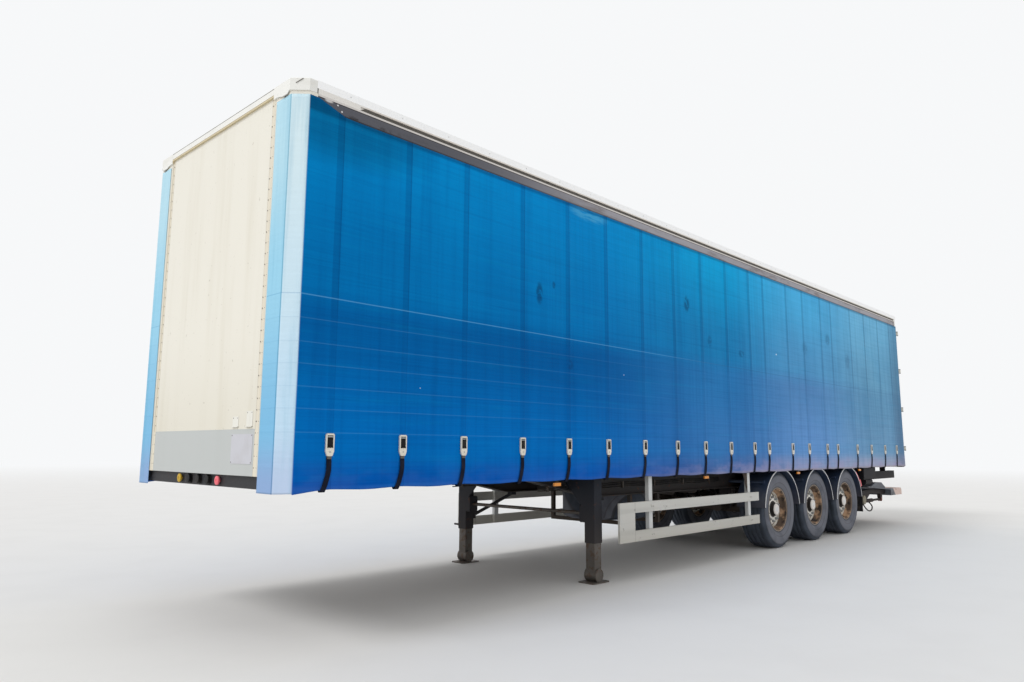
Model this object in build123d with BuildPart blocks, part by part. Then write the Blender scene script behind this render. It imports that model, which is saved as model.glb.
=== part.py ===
from math import cos, radians, sin
import os

from build123d import *

# A tri-axle curtain-side semi-trailer standing on its landing legs.
# Millimetres. +X points forward, +Y to the left, +Z up, z = 0 is the ground.
# Lengthwise places are stations: the distance back from the front face of the body.
# A setback is measured inward from the body's side, a drop down from what carries the piece.

# Body
BODY_LENGTH = 13600
BODY_HALF_WIDTH = 1275
OVERALL_HEIGHT = 4076
HEADER_LIP = 6
BUFFER_REACH = 80
CORNER_CUT = 98
FLOOR_THICKNESS = 27

# Wheels: 385/65 R22.5 on single wide rims
REAR_OVERHANG = 3075
AXLE_PITCH = 1310
AXLE_COUNT = 3
TYRE_RADIUS = 535
TYRE_WIDTH = 385
TYRE_TREAD_WIDTH = 320
TYRE_SHOULDER_DROP = 32
TYRE_BEAD_WIDTH = 296
WHEEL_SETBACK = 75
RIM_FLANGE_RADIUS = 306
RIM_SEAT_RADIUS = 285
RIM_WALL = 9
RIM_WELL_RADIUS = 252
RIM_FIT_GAP = 0.3
DISC_SETBACK = 92
DISC_THICKNESS = 14
DISC_BOLT_RADIUS = 195
HAND_HOLES = 10
HAND_HOLE_RADIUS = 31
HAND_HOLE_CIRCLE = 215
HUB_RADIUS = 138
HUB_CAP_RADIUS = 92
HUB_CAP_FRONT = 34
DRUM_RADIUS = 205
DRUM_WIDTH = 210

# Mudguards
GUARD_ROOM = 29
GUARD_THICKNESS = 6
GUARD_WIDTH = 424
GUARD_SETBACK = 25
GUARD_END_ANGLE = 5
GUARD_LIP = 14
GUARD_LIP_THICKNESS = 4
GUARD_HEADROOM = 1
STAY_RADIUS = 21
STAY_ANGLES = (42, 138)
FLAP_THICKNESS = 8
FLAP_BOTTOM = 330
FLAP_LAP = 121

# Chassis
BEAM_Y = 650
BEAM_FLANGE_WIDTH = 130
BEAM_FLANGE_THICKNESS = 12
BEAM_WEB = 10
NECK_DEPTH = 113
NECK_END = 2950
DROP_END = 4150
BEAM_DEPTH = 358
TAIL_DEPTH = 213
TAIL_LENGTH = 1005
TAIL_RISE = 800
NECK_BEND_RADIUS = 500
CROSS_FIRST = 485
CROSS_PITCH = 593
CROSS_HEIGHT = 80
CROSS_FLANGE = 46
CROSS_WALL = 5
FRONT_BEAM_START = 30
FRONT_BEAM_LENGTH = 100
FRONT_BEAM_HEIGHT = 90
FRONT_BEAM_SETBACK = 155
SLOT_GAP = 0.3

# Side rails under the curtains
RAIL_SETBACK = 13
RAIL_DEPTH = 47
RAIL_HEIGHT = 105
RAIL_WALL = 6
RAIL_START = 170

# Kingpin and its plate
KINGPIN_STATION = 1620
KINGPIN_RADIUS = 25.4
KINGPIN_SHOULDER_RADIUS = 36.5
KINGPIN_COLLAR_RADIUS = 35.75
KINGPIN_SHOULDER = 35
KINGPIN_NECK = 35
KINGPIN_COLLAR = 14
KINGPIN_HEAD_RADIUS = 62
KINGPIN_HEAD = 14
COUPLER_START = 560
COUPLER_LENGTH = 2090
COUPLER_THICKNESS = 10
COUPLER_BEVEL = 25
COUPLER_RIB_THICKNESS = 8
COUPLER_RIB_HEIGHT = 95
COUPLER_RIB_OFFSETS = (-410, -190, 190, 410)

# Front wall
WALL_FRONT = 10
WALL_THICKNESS = 40
WALL_LAP = 55
KICK_PLATE_HEIGHT = 330
KICK_PLATE_THICKNESS = 3
POST_WIDTH = 345
POST_FACE = 6
POST_DEPTH = 60
POST_WALL = 6
HEADER_HEIGHT = 80
HEADER_DEPTH = 160
HEADER_CUT = 104
HEADER_SETBACK = 3
HEADER_EDGE = 8
CAP_DROP = 21
CAP_LUG = ((0, 0), (155, -48), (198, -46), (222, -20), (222, 10))
CAP_LUG_DEPTH = 5

# Roof
ROOF_EDGE = 62
CANT_STRIP = 12
CANT_GROOVE = 30
CANT_FACE = 118
CANT_SETBACK = 3.5
CANT_GROOVE_DEPTH = 13.5
CANT_GROOVE_START = 545
CANT_WALL = 5
ROOF_SKIN = 4
BOW_COUNT = 20
BOW_WIDTH = 30
BOW_HEIGHT = 75

# Rear frame and doors
FRAME_DEPTH = 100
FRAME_POST_WIDTH = 100
FRAME_SETBACK = 20
FRAME_SILL_DROP = 140
FRAME_HEADER = 100
DOOR_GAP = 7
DOOR_THICKNESS = 38
DOOR_SETBACK = 41
DOOR_MIDDLE_GAP = 6
DOOR_LAP = 10
DOOR_HEADROOM = 15
DOOR_STILE = 70
DOOR_PANEL_RECESS = 8
HINGE_COUNT = 4
HINGE_LOWEST = 205
HINGE_HIGHEST = 265
HINGE_PIN_SETBACK = 14
HINGE_PIN_OFFSET = 60
HINGE_PIN_RADIUS = 9
HINGE_BORE_GAP = 0.05
HINGE_KNUCKLE_RADIUS = 14
HINGE_KNUCKLE_HEIGHT = 60
HINGE_EAR_HEIGHT = 14
HINGE_EAR_GAP = 1
HINGE_STRAP_THICKNESS = 8
HINGE_STRAP_LENGTH = 190
LOCK_ROD_RADIUS = 11
LOCK_ROD_STANDOFF = 24
LOCK_ROD_Y = (980, 330)
LOCK_ROD_END_GAP = 10
LOCK_GUIDE_COUNT = 4
LOCK_GUIDE_INSET = 120
LOCK_GUIDE_HEIGHT = 40
LOCK_HANDLE_RISE = 395
LOCK_HANDLE_LENGTH = 300
LOCK_HANDLE_HEIGHT = 34
SILL_FITTING_DROP = 115
BUFFER_SETBACK = 115
BUFFER_WIDTH = 120
BUFFER_HEIGHT = 110
REAR_LAMP_Y = 870
REAR_LAMP_WIDTH = 400
REAR_LAMP_HEIGHT = 110
REAR_LAMP_DEPTH = 45

# Curtains
CURTAIN_THICKNESS = 3
CURTAIN_SEAT = 0.3
HEM_DROP = 37
CURTAIN_LAP = 12
CURTAIN_HEADER_GAP = 30
CURTAIN_FRONT_LAP = 40
CURTAIN_RISE_START = 420
CURTAIN_RISE_END = 180
CURTAIN_REAR_GAP = 20
BUCKLE_STATIONS = (380, 1033, 1674, 2400, 3065, 3708, 4380, 5055, 5703, 6357,
                   7024, 7469, 8255, 8860, 9577, 10026, 10927, 11637, 12375, 13053)
BUCKLE_WIDTH = 76
BUCKLE_RISE = 94
BUCKLE_HEIGHT = 156
BUCKLE_DEPTH = 30
BUCKLE_RIM = 13
BUCKLE_WINDOW = 88
BUCKLE_SHOULDER = 48
BUCKLE_TAIL_LENGTH = 24
BUCKLE_TAIL_WIDTH = 40
STRAP_WIDTH = 42
STRAP_THICKNESS = 2.4
STRAP_GAP = 0.4
STRAP_DROP = 6
STRAP_HOOK_SETBACK = 22

# Side pillars under the cant rails
PILLAR_COUNT = 3
PILLAR_LENGTH = 130
PILLAR_DEPTH = 45
PILLAR_WALL = 5

# Axles and suspension
AXLE_TUBE_RADIUS = 73
AXLE_TUBE_HALF = 760
SPINDLE_RADIUS = 44
HUB_BORE_GAP = 0.05
ARM_Y = 650
ARM_WIDTH = 100
ARM_THICKNESS = 52
ARM_SEAT_LENGTH = 220
ARM_PIVOT_AHEAD = 505
ARM_PIVOT_RISE = 105
ARM_SPRING_BEHIND = 400
ARM_TAIL = 500
ARM_DROP = 40
HANGER_LENGTH = 190
HANGER_WIDTH = 150
HANGER_WALL = 10
HANGER_SKIRT = 65
PIVOT_RADIUS = 30
PIVOT_BOLT_RADIUS = 18
AIR_SPRING_RADIUS = 138
AIR_SPRING_PISTON = 95
SHOCK_RADIUS = 36
SHOCK_ROD_RADIUS = 24
SHOCK_Y = 540
SHOCK_REACH = 255
SHOCK_EYE = 45
CHAMBER_RADIUS = 88
CHAMBER_LENGTH = 190
CHAMBER_GAP = 40
CHAMBER_RISE = 30
CHAMBER_Y = 330

# Landing legs
LEG_STATION = 3818
LEG_SETBACK = 290
LEG_SIZE = 130
LEG_WALL = 8
LEG_HEADROOM = 31
LEG_BOTTOM = 400
LEG_BRACKET_DEPTH = 335
LEG_BRACKET_THICKNESS = 14
INNER_LEG_GAP = 0.3
INNER_LEG_DROP = 175
FOOT_DRUM_RADIUS = 68
FOOT_DRUM_LENGTH = 150
FOOT_LENGTH = 280
FOOT_WIDTH = 220
FOOT_PLATE = 12
GEAR_SHAFT_LEVEL = 700
GEAR_SHAFT_RADIUS = 19
GEAR_BOX_DEPTH = 70
GEAR_BOX_HEIGHT = 190
BRACE_LEVEL = 560
BRACE_REACH = 440
BRACE_RADIUS = 20
BRACE_FOOT = 90
CRANK_STANDOFF = 24
CRANK_LENGTH = 260
CRANK_RADIUS = 12
CRANK_GRIP = 90

# Side guards
GUARD_RAIL_SETBACK = 25
GUARD_RAIL_THICKNESS = 26
GUARD_FRONT_GAP = 110
GUARD_PLATE_LENGTH = 280
GUARD_REAR_GAP = 760
GUARD_LOW_BOTTOM = 400
GUARD_HIGH_BOTTOM = 700
GUARD_RAIL_HEIGHT = 112
GUARD_POST_OFFSETS = (620, 235)
GUARD_POST_LENGTH = 70
GUARD_POST_DEPTH = 46
GUSSET_REACH = 130
GUSSET_DEPTH = 300
GUSSET_THICKNESS = 8

# Spare wheel, air tanks and side lamps
SPARE_OFFSET = 1520
SPARE_DROP = 330
SPARE_DISC_THICKNESS = 14
SPARE_DISC_DEPTH = 86
CARRIER_TUBE = 22
CARRIER_HALF_SPAN = 300
TANK_RADIUS = 138
TANK_HALF_LENGTH = 380
TANK_CROSS_MEMBERS = (10, 11)
TANK_DROP = 206
TANK_END_BEVEL = 40
TANK_STRAP = 40
LAMP_FRONT_STATIONS = (2930, 5764)
LAMP_BEHIND_AXLE = (588, 547)
LAMP_SETBACK = 25
LAMP_LENGTH = 100
LAMP_DROP = 66
LAMP_HEIGHT = 30
LAMP_DEPTH = 24
LAMP_STEM_LENGTH = 36
LAMP_STEM_DEPTH = 10

# Tail lift, drawn in under the floor on its two rails
LIFT_RAIL_Y = 1030
LIFT_RAIL_WIDTH = 90
LIFT_RAIL_HEIGHT = 140
LIFT_RAIL_LENGTH = 2080
LIFT_RAIL_REAR_GAP = 75
LIFT_RAIL_WALL = 9
LIFT_RUN_GAP = 0.5
LIFT_SIDE_GAP = 6
CARRIAGE_OFFSET = 30
CARRIAGE_LENGTH = 420
CARRIAGE_PLATE = 24
TUBE_OFFSET = 110
TUBE_RADIUS = 78
TUBE_LEVEL = 500
LIFT_TUBE_HALF = 1140
LIFT_ARM_Y = 1045
LIFT_ARM_WIDTH = 60
LIFT_ARM_HEIGHT = 76
LIFT_ARM_KNEE = 500
LIFT_KNEE_LEVEL = 630
LIFT_HUB_WALL = 24
LIFT_CYLINDER_RADIUS = 34
LIFT_ROD_RADIUS = 20
LIFT_CYLINDER_LEVEL = 465
LIFT_EYE_AHEAD = 230
PLATFORM_SETBACK = 95
PLATFORM_REAR_GAP = 90
PLATFORM_LENGTH = 1860
PLATFORM_ROOT_LENGTH = 640
PLATFORM_ROOT_BOTTOM = 530
PLATFORM_ROOT_HEIGHT = 128
PLATFORM_TIP_TOP = 738
PLATFORM_EDGE = 20
PLATFORM_NOSE = 40
TIP_OFFSET = 310
TIP_LENGTH = 780
TIP_HEIGHT = 64
TIP_GAP = 0.3
TIP_SETIN = 60
PACK_OFFSET = 765
PACK_LENGTH = 630
PACK_SETBACK = 43
PACK_DEPTH = 145
PACK_HEIGHT = 228
PACK_HEADROOM = 25
PACK_LID = 5
PACK_CORNER = 14
PACK_BRACKET_LENGTH = 60
PACK_BRACKET_DEPTH = 10
MOTOR_RADIUS = 58
MOTOR_LENGTH = 340

# Ends
FRONT_X = (BODY_LENGTH + BUFFER_REACH - HEADER_LIP) / 2
FRAME_REAR = BODY_LENGTH - DOOR_THICKNESS - DOOR_GAP
FRAME_FRONT = FRAME_REAR - FRAME_DEPTH
BEAM_START = FRONT_BEAM_START + FRONT_BEAM_LENGTH
BEAM_END = FRAME_FRONT
TAIL_END = BEAM_END - TAIL_LENGTH
TAIL_START = TAIL_END - TAIL_RISE
HINGE_PIN_STATION = BODY_LENGTH + HINGE_PIN_OFFSET
CURTAIN_END = FRAME_REAR - CURTAIN_REAR_GAP

# Levels, from the tyres up to the load floor and from the roof down
GUARD_RADIUS = TYRE_RADIUS + GUARD_ROOM
CROSS_BOTTOM = TYRE_RADIUS + GUARD_RADIUS + GUARD_THICKNESS + GUARD_HEADROOM
CROSS_TOP = CROSS_BOTTOM + CROSS_HEIGHT
BEAM_TOP = CROSS_TOP + BEAM_FLANGE_THICKNESS
FLOOR_TOP = BEAM_TOP + FLOOR_THICKNESS
NECK_BOTTOM = BEAM_TOP - NECK_DEPTH
BEAM_BOTTOM = BEAM_TOP - BEAM_DEPTH
TAIL_BOTTOM = BEAM_TOP - TAIL_DEPTH
COUPLER_BOTTOM = NECK_BOTTOM - COUPLER_THICKNESS
RAIL_BOTTOM = FLOOR_TOP - RAIL_HEIGHT
WALL_BOTTOM = FLOOR_TOP - WALL_LAP
CURTAIN_HEM = RAIL_BOTTOM - HEM_DROP
BUCKLE_BOTTOM = FLOOR_TOP + BUCKLE_RISE
BUCKLE_TOP = BUCKLE_BOTTOM + BUCKLE_HEIGHT
BUCKLE_TAIL = BUCKLE_BOTTOM - BUCKLE_TAIL_LENGTH
STRAP_BOTTOM = CURTAIN_HEM - STRAP_DROP
SILL_FITTING_LEVEL = FLOOR_TOP - SILL_FITTING_DROP
HEADER_BOTTOM = OVERALL_HEIGHT - HEADER_HEIGHT
CAP_BOTTOM = HEADER_BOTTOM - CAP_DROP
CANT_TOP = OVERALL_HEIGHT - ROOF_EDGE
CANT_GROOVE_TOP = CANT_TOP - CANT_STRIP
CANT_LINE_TOP = CANT_GROOVE_TOP - CANT_GROOVE
CANT_BOTTOM = CANT_LINE_TOP - CANT_FACE
CURTAIN_TOP = CANT_BOTTOM + CURTAIN_LAP
CURTAIN_FRONT_TOP = CAP_BOTTOM - CURTAIN_HEADER_GAP
DOOR_BOTTOM = FLOOR_TOP - DOOR_LAP
DOOR_TOP = CANT_TOP - DOOR_HEADROOM
ARM_PIVOT_LEVEL = TYRE_RADIUS + ARM_PIVOT_RISE
HANGER_BOTTOM = ARM_PIVOT_LEVEL - HANGER_SKIRT
LEG_TOP = CROSS_BOTTOM - LEG_HEADROOM
TANK_LEVEL = CROSS_BOTTOM - TANK_DROP
SPARE_BOTTOM = BEAM_BOTTOM - SPARE_DROP
LIFT_RAIL_TOP = TAIL_BOTTOM
LIFT_RAIL_BOTTOM = LIFT_RAIL_TOP - LIFT_RAIL_HEIGHT

# Widths, inward from the body's side
RAIL_OUTER_Y = BODY_HALF_WIDTH - RAIL_SETBACK
RAIL_INNER_Y = RAIL_OUTER_Y - RAIL_DEPTH
POST_INNER_Y = BODY_HALF_WIDTH - POST_WIDTH
HEADER_HALF_WIDTH = BODY_HALF_WIDTH - HEADER_SETBACK
CANT_OUTER_Y = BODY_HALF_WIDTH - CANT_SETBACK
CANT_GROOVE_Y = CANT_OUTER_Y - CANT_GROOVE_DEPTH
CANT_INNER_Y = RAIL_INNER_Y
FRAME_HALF_WIDTH = BODY_HALF_WIDTH - FRAME_SETBACK
DOOR_OUTER_Y = BODY_HALF_WIDTH - DOOR_SETBACK
HINGE_PIN_Y = BODY_HALF_WIDTH - HINGE_PIN_SETBACK
BUFFER_Y = BODY_HALF_WIDTH - BUFFER_SETBACK
STRAP_HOOK_Y = RAIL_OUTER_Y - STRAP_HOOK_SETBACK
WHEEL_OUTER_Y = BODY_HALF_WIDTH - WHEEL_SETBACK
GUARD_OUTER_Y = BODY_HALF_WIDTH - GUARD_SETBACK
GUARD_INNER_Y = GUARD_OUTER_Y - GUARD_WIDTH
GUARD_RAIL_OUTER_Y = BODY_HALF_WIDTH - GUARD_RAIL_SETBACK
LAMP_OUTER_Y = BODY_HALF_WIDTH - LAMP_SETBACK
LEG_Y = BODY_HALF_WIDTH - LEG_SETBACK
PLATFORM_HALF_WIDTH = BODY_HALF_WIDTH - PLATFORM_SETBACK

# Rows of like pieces
AXLE_STATIONS = [BODY_LENGTH - REAR_OVERHANG - AXLE_PITCH * k for k in range(AXLE_COUNT)][::-1]
CROSS_COUNT = int((FRAME_FRONT - CROSS_FLANGE - CROSS_FIRST) // CROSS_PITCH) + 1
CROSS_STATIONS = [CROSS_FIRST + CROSS_PITCH * k for k in range(CROSS_COUNT)]
PILLAR_STATIONS = [RAIL_START + (FRAME_FRONT - RAIL_START) * k / (PILLAR_COUNT + 1)
                   for k in range(1, PILLAR_COUNT + 1)]
BUCKLES = [s for s in BUCKLE_STATIONS if s < CURTAIN_END - BUCKLE_WIDTH]
GUARD_FRONT = LEG_STATION + GUARD_FRONT_GAP
GUARD_REAR = AXLE_STATIONS[0] - GUARD_REAR_GAP
GUARD_POST_STATIONS = (GUARD_FRONT + GUARD_POST_OFFSETS[0], GUARD_REAR - GUARD_POST_OFFSETS[1])
LAMP_STATIONS = LAMP_FRONT_STATIONS + (AXLE_STATIONS[0] + LAMP_BEHIND_AXLE[0],
                                       AXLE_STATIONS[-1] + LAMP_BEHIND_AXLE[1])
SPARE_STATION = LEG_STATION + SPARE_OFFSET
HINGE_LEVELS = [DOOR_BOTTOM + HINGE_LOWEST
                + (DOOR_TOP - HINGE_HIGHEST - DOOR_BOTTOM - HINGE_LOWEST) * k / (HINGE_COUNT - 1)
                for k in range(HINGE_COUNT)]
LOCK_GUIDE_LEVELS = [DOOR_BOTTOM + LOCK_GUIDE_INSET
                     + (DOOR_TOP - DOOR_BOTTOM - 2 * LOCK_GUIDE_INSET) * k / (LOCK_GUIDE_COUNT - 1)
                     for k in range(LOCK_GUIDE_COUNT)]
LIFT_RAIL_END = FRAME_REAR - LIFT_RAIL_REAR_GAP
LIFT_RAIL_START = LIFT_RAIL_END - LIFT_RAIL_LENGTH
CARRIAGE_START = LIFT_RAIL_START + CARRIAGE_OFFSET
TUBE_STATION = CARRIAGE_START + TUBE_OFFSET
PLATFORM_END = BODY_LENGTH - PLATFORM_REAR_GAP
PLATFORM_START = PLATFORM_END - PLATFORM_LENGTH
PLATFORM_ROOT_START = PLATFORM_END - PLATFORM_ROOT_LENGTH
SIDES = (("left", 1), ("right", -1))


def at(station):
    """The x of a station."""
    return FRONT_X - station


def side_plane(y):
    """A plane facing +Y at y, drawn in x reversed and z: its local x runs back."""
    return Plane(origin=(FRONT_X, y, 0), x_dir=(-1, 0, 0), z_dir=(0, 1, 0))


def section_plane(station):
    """A plane facing back at a station, drawn in -y and z."""
    return Plane(origin=(at(station), 0, 0), x_dir=(0, -1, 0), z_dir=(-1, 0, 0))


def plan_plane(z):
    """A plane facing up at z, drawn in x and y from the front face of the body."""
    return Plane(origin=(FRONT_X, 0, z), x_dir=(1, 0, 0), z_dir=(0, 0, 1))


def save(builder, name):
    """Label a finished piece and write it."""
    builder.part.label = name
    export_step(builder.part, f"parts/{name}.step")


os.makedirs("parts", exist_ok=True)


# Main beams: two swan-necked I-beams with the cross-members passing through their webs
def beam_outline(margin):
    """The side of a beam, drawn in by a margin."""
    Polygon(
        (BEAM_START + margin, NECK_BOTTOM + margin),
        (NECK_END + margin / 5, NECK_BOTTOM + margin),
        (DROP_END + margin / 5, BEAM_BOTTOM + margin),
        (TAIL_START - margin / 5, BEAM_BOTTOM + margin),
        (TAIL_END - margin / 5, TAIL_BOTTOM + margin),
        (BEAM_END - margin, TAIL_BOTTOM + margin),
        (BEAM_END - margin, BEAM_TOP - margin),
        (BEAM_START + margin, BEAM_TOP - margin),
        align=None,
    )


def beam_bends(sketch):
    """The corners of the lower edge where a beam bends."""
    return sketch.vertices().filter_by(lambda v: NECK_END - 50 < v.X < TAIL_END + 50)


with BuildPart() as main_beams:
    outer_face = BEAM_Y + BEAM_FLANGE_WIDTH / 2
    pocket_depth = (BEAM_FLANGE_WIDTH - BEAM_WEB) / 2
    with BuildSketch(side_plane(BEAM_Y - BEAM_FLANGE_WIDTH / 2)) as beam_side:
        beam_outline(0)
        fillet(beam_bends(beam_side), NECK_BEND_RADIUS)
    extrude(amount=BEAM_FLANGE_WIDTH)
    for face_y, direction in ((outer_face, -1), (BEAM_Y - BEAM_FLANGE_WIDTH / 2, 1)):
        with BuildSketch(side_plane(face_y)) as pocket:
            beam_outline(BEAM_FLANGE_THICKNESS)
            fillet(beam_bends(pocket), NECK_BEND_RADIUS)
        extrude(amount=direction * pocket_depth, mode=Mode.SUBTRACT)
    for station in CROSS_STATIONS:
        with BuildSketch(side_plane(BEAM_Y - BEAM_WEB)):
            with Locations((station, CROSS_TOP - CROSS_HEIGHT / 2)):
                Rectangle(CROSS_FLANGE + 2 * SLOT_GAP, CROSS_HEIGHT + 2 * SLOT_GAP)
            with Locations((station, CROSS_TOP + SLOT_GAP)):
                Rectangle(CROSS_FLANGE + 4 * SLOT_GAP, 2 * SLOT_GAP, mode=Mode.SUBTRACT)
        extrude(amount=2 * BEAM_WEB, mode=Mode.SUBTRACT)
    mirror(about=Plane.XZ)
save(main_beams, "main_beams")

# Cross-members: channels the full width of the floor, and the front beam under the wall
with BuildPart() as cross_members:
    for station in CROSS_STATIONS:
        with BuildSketch(side_plane(-RAIL_INNER_Y)):
            with Locations((station, CROSS_TOP - CROSS_HEIGHT / 2)):
                Rectangle(CROSS_FLANGE, CROSS_HEIGHT)
            with Locations((station + CROSS_WALL, CROSS_TOP - CROSS_HEIGHT / 2)):
                Rectangle(CROSS_FLANGE, CROSS_HEIGHT - 2 * CROSS_WALL, mode=Mode.SUBTRACT)
        extrude(amount=2 * RAIL_INNER_Y)
    front_half = BODY_HALF_WIDTH - FRONT_BEAM_SETBACK
    with BuildSketch(side_plane(-front_half)):
        with Locations((FRONT_BEAM_START + FRONT_BEAM_LENGTH / 2, WALL_BOTTOM - FRONT_BEAM_HEIGHT / 2)):
            Rectangle(FRONT_BEAM_LENGTH, FRONT_BEAM_HEIGHT)
            Rectangle(FRONT_BEAM_LENGTH - 2 * CROSS_WALL, FRONT_BEAM_HEIGHT - 2 * CROSS_WALL, mode=Mode.SUBTRACT)
    extrude(amount=2 * front_half)
save(cross_members, "cross_members")

# Coupler plate, bevelled at its front end, bored for the kingpin and ribbed between the beams
with BuildPart() as coupler_plate:
    half_width = BEAM_Y + BEAM_FLANGE_WIDTH / 2
    with BuildSketch(side_plane(-half_width)):
        Polygon(
            (COUPLER_START, NECK_BOTTOM),
            (COUPLER_START + COUPLER_BEVEL, COUPLER_BOTTOM),
            (COUPLER_START + COUPLER_LENGTH, COUPLER_BOTTOM),
            (COUPLER_START + COUPLER_LENGTH, NECK_BOTTOM),
            align=None,
        )
    extrude(amount=2 * half_width)
    with BuildSketch(plan_plane(COUPLER_BOTTOM)):
        with Locations((-KINGPIN_STATION, 0)):
            Circle(KINGPIN_SHOULDER_RADIUS + SLOT_GAP)
    extrude(amount=COUPLER_THICKNESS, mode=Mode.SUBTRACT)
    rib_half = BEAM_Y - BEAM_FLANGE_WIDTH / 2 - SLOT_GAP
    for rib_offset in COUPLER_RIB_OFFSETS:
        with BuildSketch(section_plane(KINGPIN_STATION + rib_offset)):
            with Locations((0, NECK_BOTTOM + COUPLER_RIB_HEIGHT / 2)):
                Rectangle(2 * rib_half, COUPLER_RIB_HEIGHT)
        extrude(amount=COUPLER_RIB_THICKNESS)
save(coupler_plate, "coupler_plate")

# Kingpin: its head rests on the coupler plate, its neck hangs below
with BuildPart() as kingpin:
    with BuildSketch(Plane(origin=(at(KINGPIN_STATION), 0, COUPLER_BOTTOM), x_dir=(1, 0, 0), z_dir=(0, -1, 0))):
        neck_top = -KINGPIN_SHOULDER
        neck_bottom = neck_top - KINGPIN_NECK
        pin_bottom = neck_bottom - KINGPIN_COLLAR
        Polygon(
            (0, COUPLER_THICKNESS + KINGPIN_HEAD),
            (KINGPIN_HEAD_RADIUS, COUPLER_THICKNESS + KINGPIN_HEAD),
            (KINGPIN_HEAD_RADIUS, COUPLER_THICKNESS),
            (KINGPIN_SHOULDER_RADIUS, COUPLER_THICKNESS),
            (KINGPIN_SHOULDER_RADIUS, neck_top),
            (KINGPIN_RADIUS, neck_top),
            (KINGPIN_RADIUS, neck_bottom),
            (KINGPIN_COLLAR_RADIUS, neck_bottom),
            (KINGPIN_COLLAR_RADIUS, pin_bottom + 6),
            (KINGPIN_COLLAR_RADIUS - 6, pin_bottom),
            (0, pin_bottom),
            align=None,
        )
    revolve(axis=Axis((at(KINGPIN_STATION), 0, 0), (0, 0, 1)))
save(kingpin, "kingpin")

# Load floor
with BuildPart() as cargo_floor:
    with BuildSketch(plan_plane(BEAM_TOP)):
        floor_start = WALL_FRONT + WALL_THICKNESS
        with Locations((-(floor_start + FRAME_FRONT) / 2, 0)):
            Rectangle(FRAME_FRONT - floor_start, 2 * RAIL_INNER_Y)
        for side in (1, -1):
            with Locations((0, side * (POST_INNER_Y + BODY_HALF_WIDTH) / 2)):
                Rectangle(2 * RAIL_START, BODY_HALF_WIDTH - POST_INNER_Y, mode=Mode.SUBTRACT)
    extrude(amount=FLOOR_THICKNESS)
save(cargo_floor, "cargo_floor")

# Side rails: channels open to the inside, with the strap hooks under them
with BuildPart() as side_rails:
    with BuildSketch(Plane.YZ.offset(at(FRAME_FRONT))):
        with Locations(((RAIL_INNER_Y + RAIL_OUTER_Y) / 2, RAIL_BOTTOM + RAIL_HEIGHT / 2)):
            Rectangle(RAIL_DEPTH, RAIL_HEIGHT)
        with Locations((RAIL_INNER_Y + (RAIL_DEPTH - RAIL_WALL) / 2, RAIL_BOTTOM + RAIL_HEIGHT / 2)):
            Rectangle(RAIL_DEPTH - RAIL_WALL, RAIL_HEIGHT - 2 * RAIL_WALL, mode=Mode.SUBTRACT)
    extrude(amount=FRAME_FRONT - RAIL_START)
    mirror(about=Plane.XZ)
save(side_rails, "side_rails")

# Front wall with its kick plate
with BuildPart() as front_bulkhead:
    with BuildSketch(plan_plane(WALL_BOTTOM)):
        with Locations((-WALL_FRONT - WALL_THICKNESS / 2, 0)):
            Rectangle(WALL_THICKNESS, 2 * POST_INNER_Y)
    extrude(amount=HEADER_BOTTOM - WALL_BOTTOM)
    with BuildSketch(plan_plane(WALL_BOTTOM)):
        with Locations((-WALL_FRONT + KICK_PLATE_THICKNESS / 2, 0)):
            Rectangle(KICK_PLATE_THICKNESS, 2 * POST_INNER_Y)
    extrude(amount=KICK_PLATE_HEIGHT)
save(front_bulkhead, "front_bulkhead")

# Front posts: hollow corner sections with the slanted outer corner
with BuildPart() as front_posts:
    with BuildSketch(plan_plane(WALL_BOTTOM)) as post_section:
        outer_y = BODY_HALF_WIDTH - POST_FACE
        cut = CORNER_CUT
        Polygon(
            (-POST_FACE, POST_INNER_Y),
            (-POST_FACE, outer_y - cut),
            (-POST_FACE - cut, outer_y),
            (-RAIL_START, outer_y),
            (-RAIL_START, RAIL_INNER_Y),
            (-POST_FACE - cut - 10, RAIL_INNER_Y),
            (-POST_FACE - POST_DEPTH, outer_y - cut - 10),
            (-POST_FACE - POST_DEPTH, POST_INNER_Y),
            align=None,
        )
        offset(amount=-POST_WALL, mode=Mode.SUBTRACT)
    extrude(amount=CAP_BOTTOM - WALL_BOTTOM)
    mirror(about=Plane.XZ)
save(front_posts, "front_posts")

# Front header: the bar over the front wall with a deeper cap on each cut corner
with BuildPart() as front_header:
    with BuildSketch(plan_plane(CAP_BOTTOM)) as header_plan:
        Polygon(
            (HEADER_LIP, 0),
            (HEADER_LIP, HEADER_HALF_WIDTH - HEADER_CUT),
            (HEADER_LIP - HEADER_CUT, HEADER_HALF_WIDTH),
            (-HEADER_DEPTH, HEADER_HALF_WIDTH),
            (-HEADER_DEPTH, 0),
            align=None,
        )
        mirror(about=Plane.XZ)
    extrude(amount=OVERALL_HEIGHT - CAP_BOTTOM)
    chamfer(front_header.faces().sort_by(Axis.Z)[-1].edges().filter_by(
        lambda e: e.center().X > at(HEADER_DEPTH) + 1), HEADER_EDGE)
    with BuildSketch(plan_plane(CAP_BOTTOM)):
        with Locations(((HEADER_LIP - HEADER_DEPTH) / 2, 0)):
            Rectangle(HEADER_LIP + HEADER_DEPTH, 2 * POST_INNER_Y)
    extrude(amount=CAP_DROP, mode=Mode.SUBTRACT)
    with BuildSketch(Plane.YZ.offset(FRONT_X + HEADER_LIP)):
        Polygon(*[(POST_INNER_Y + outward, HEADER_BOTTOM + rise) for outward, rise in CAP_LUG], align=None)
        mirror(about=Plane.YZ)
    extrude(amount=-CAP_LUG_DEPTH)
save(front_header, "front_header")

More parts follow.
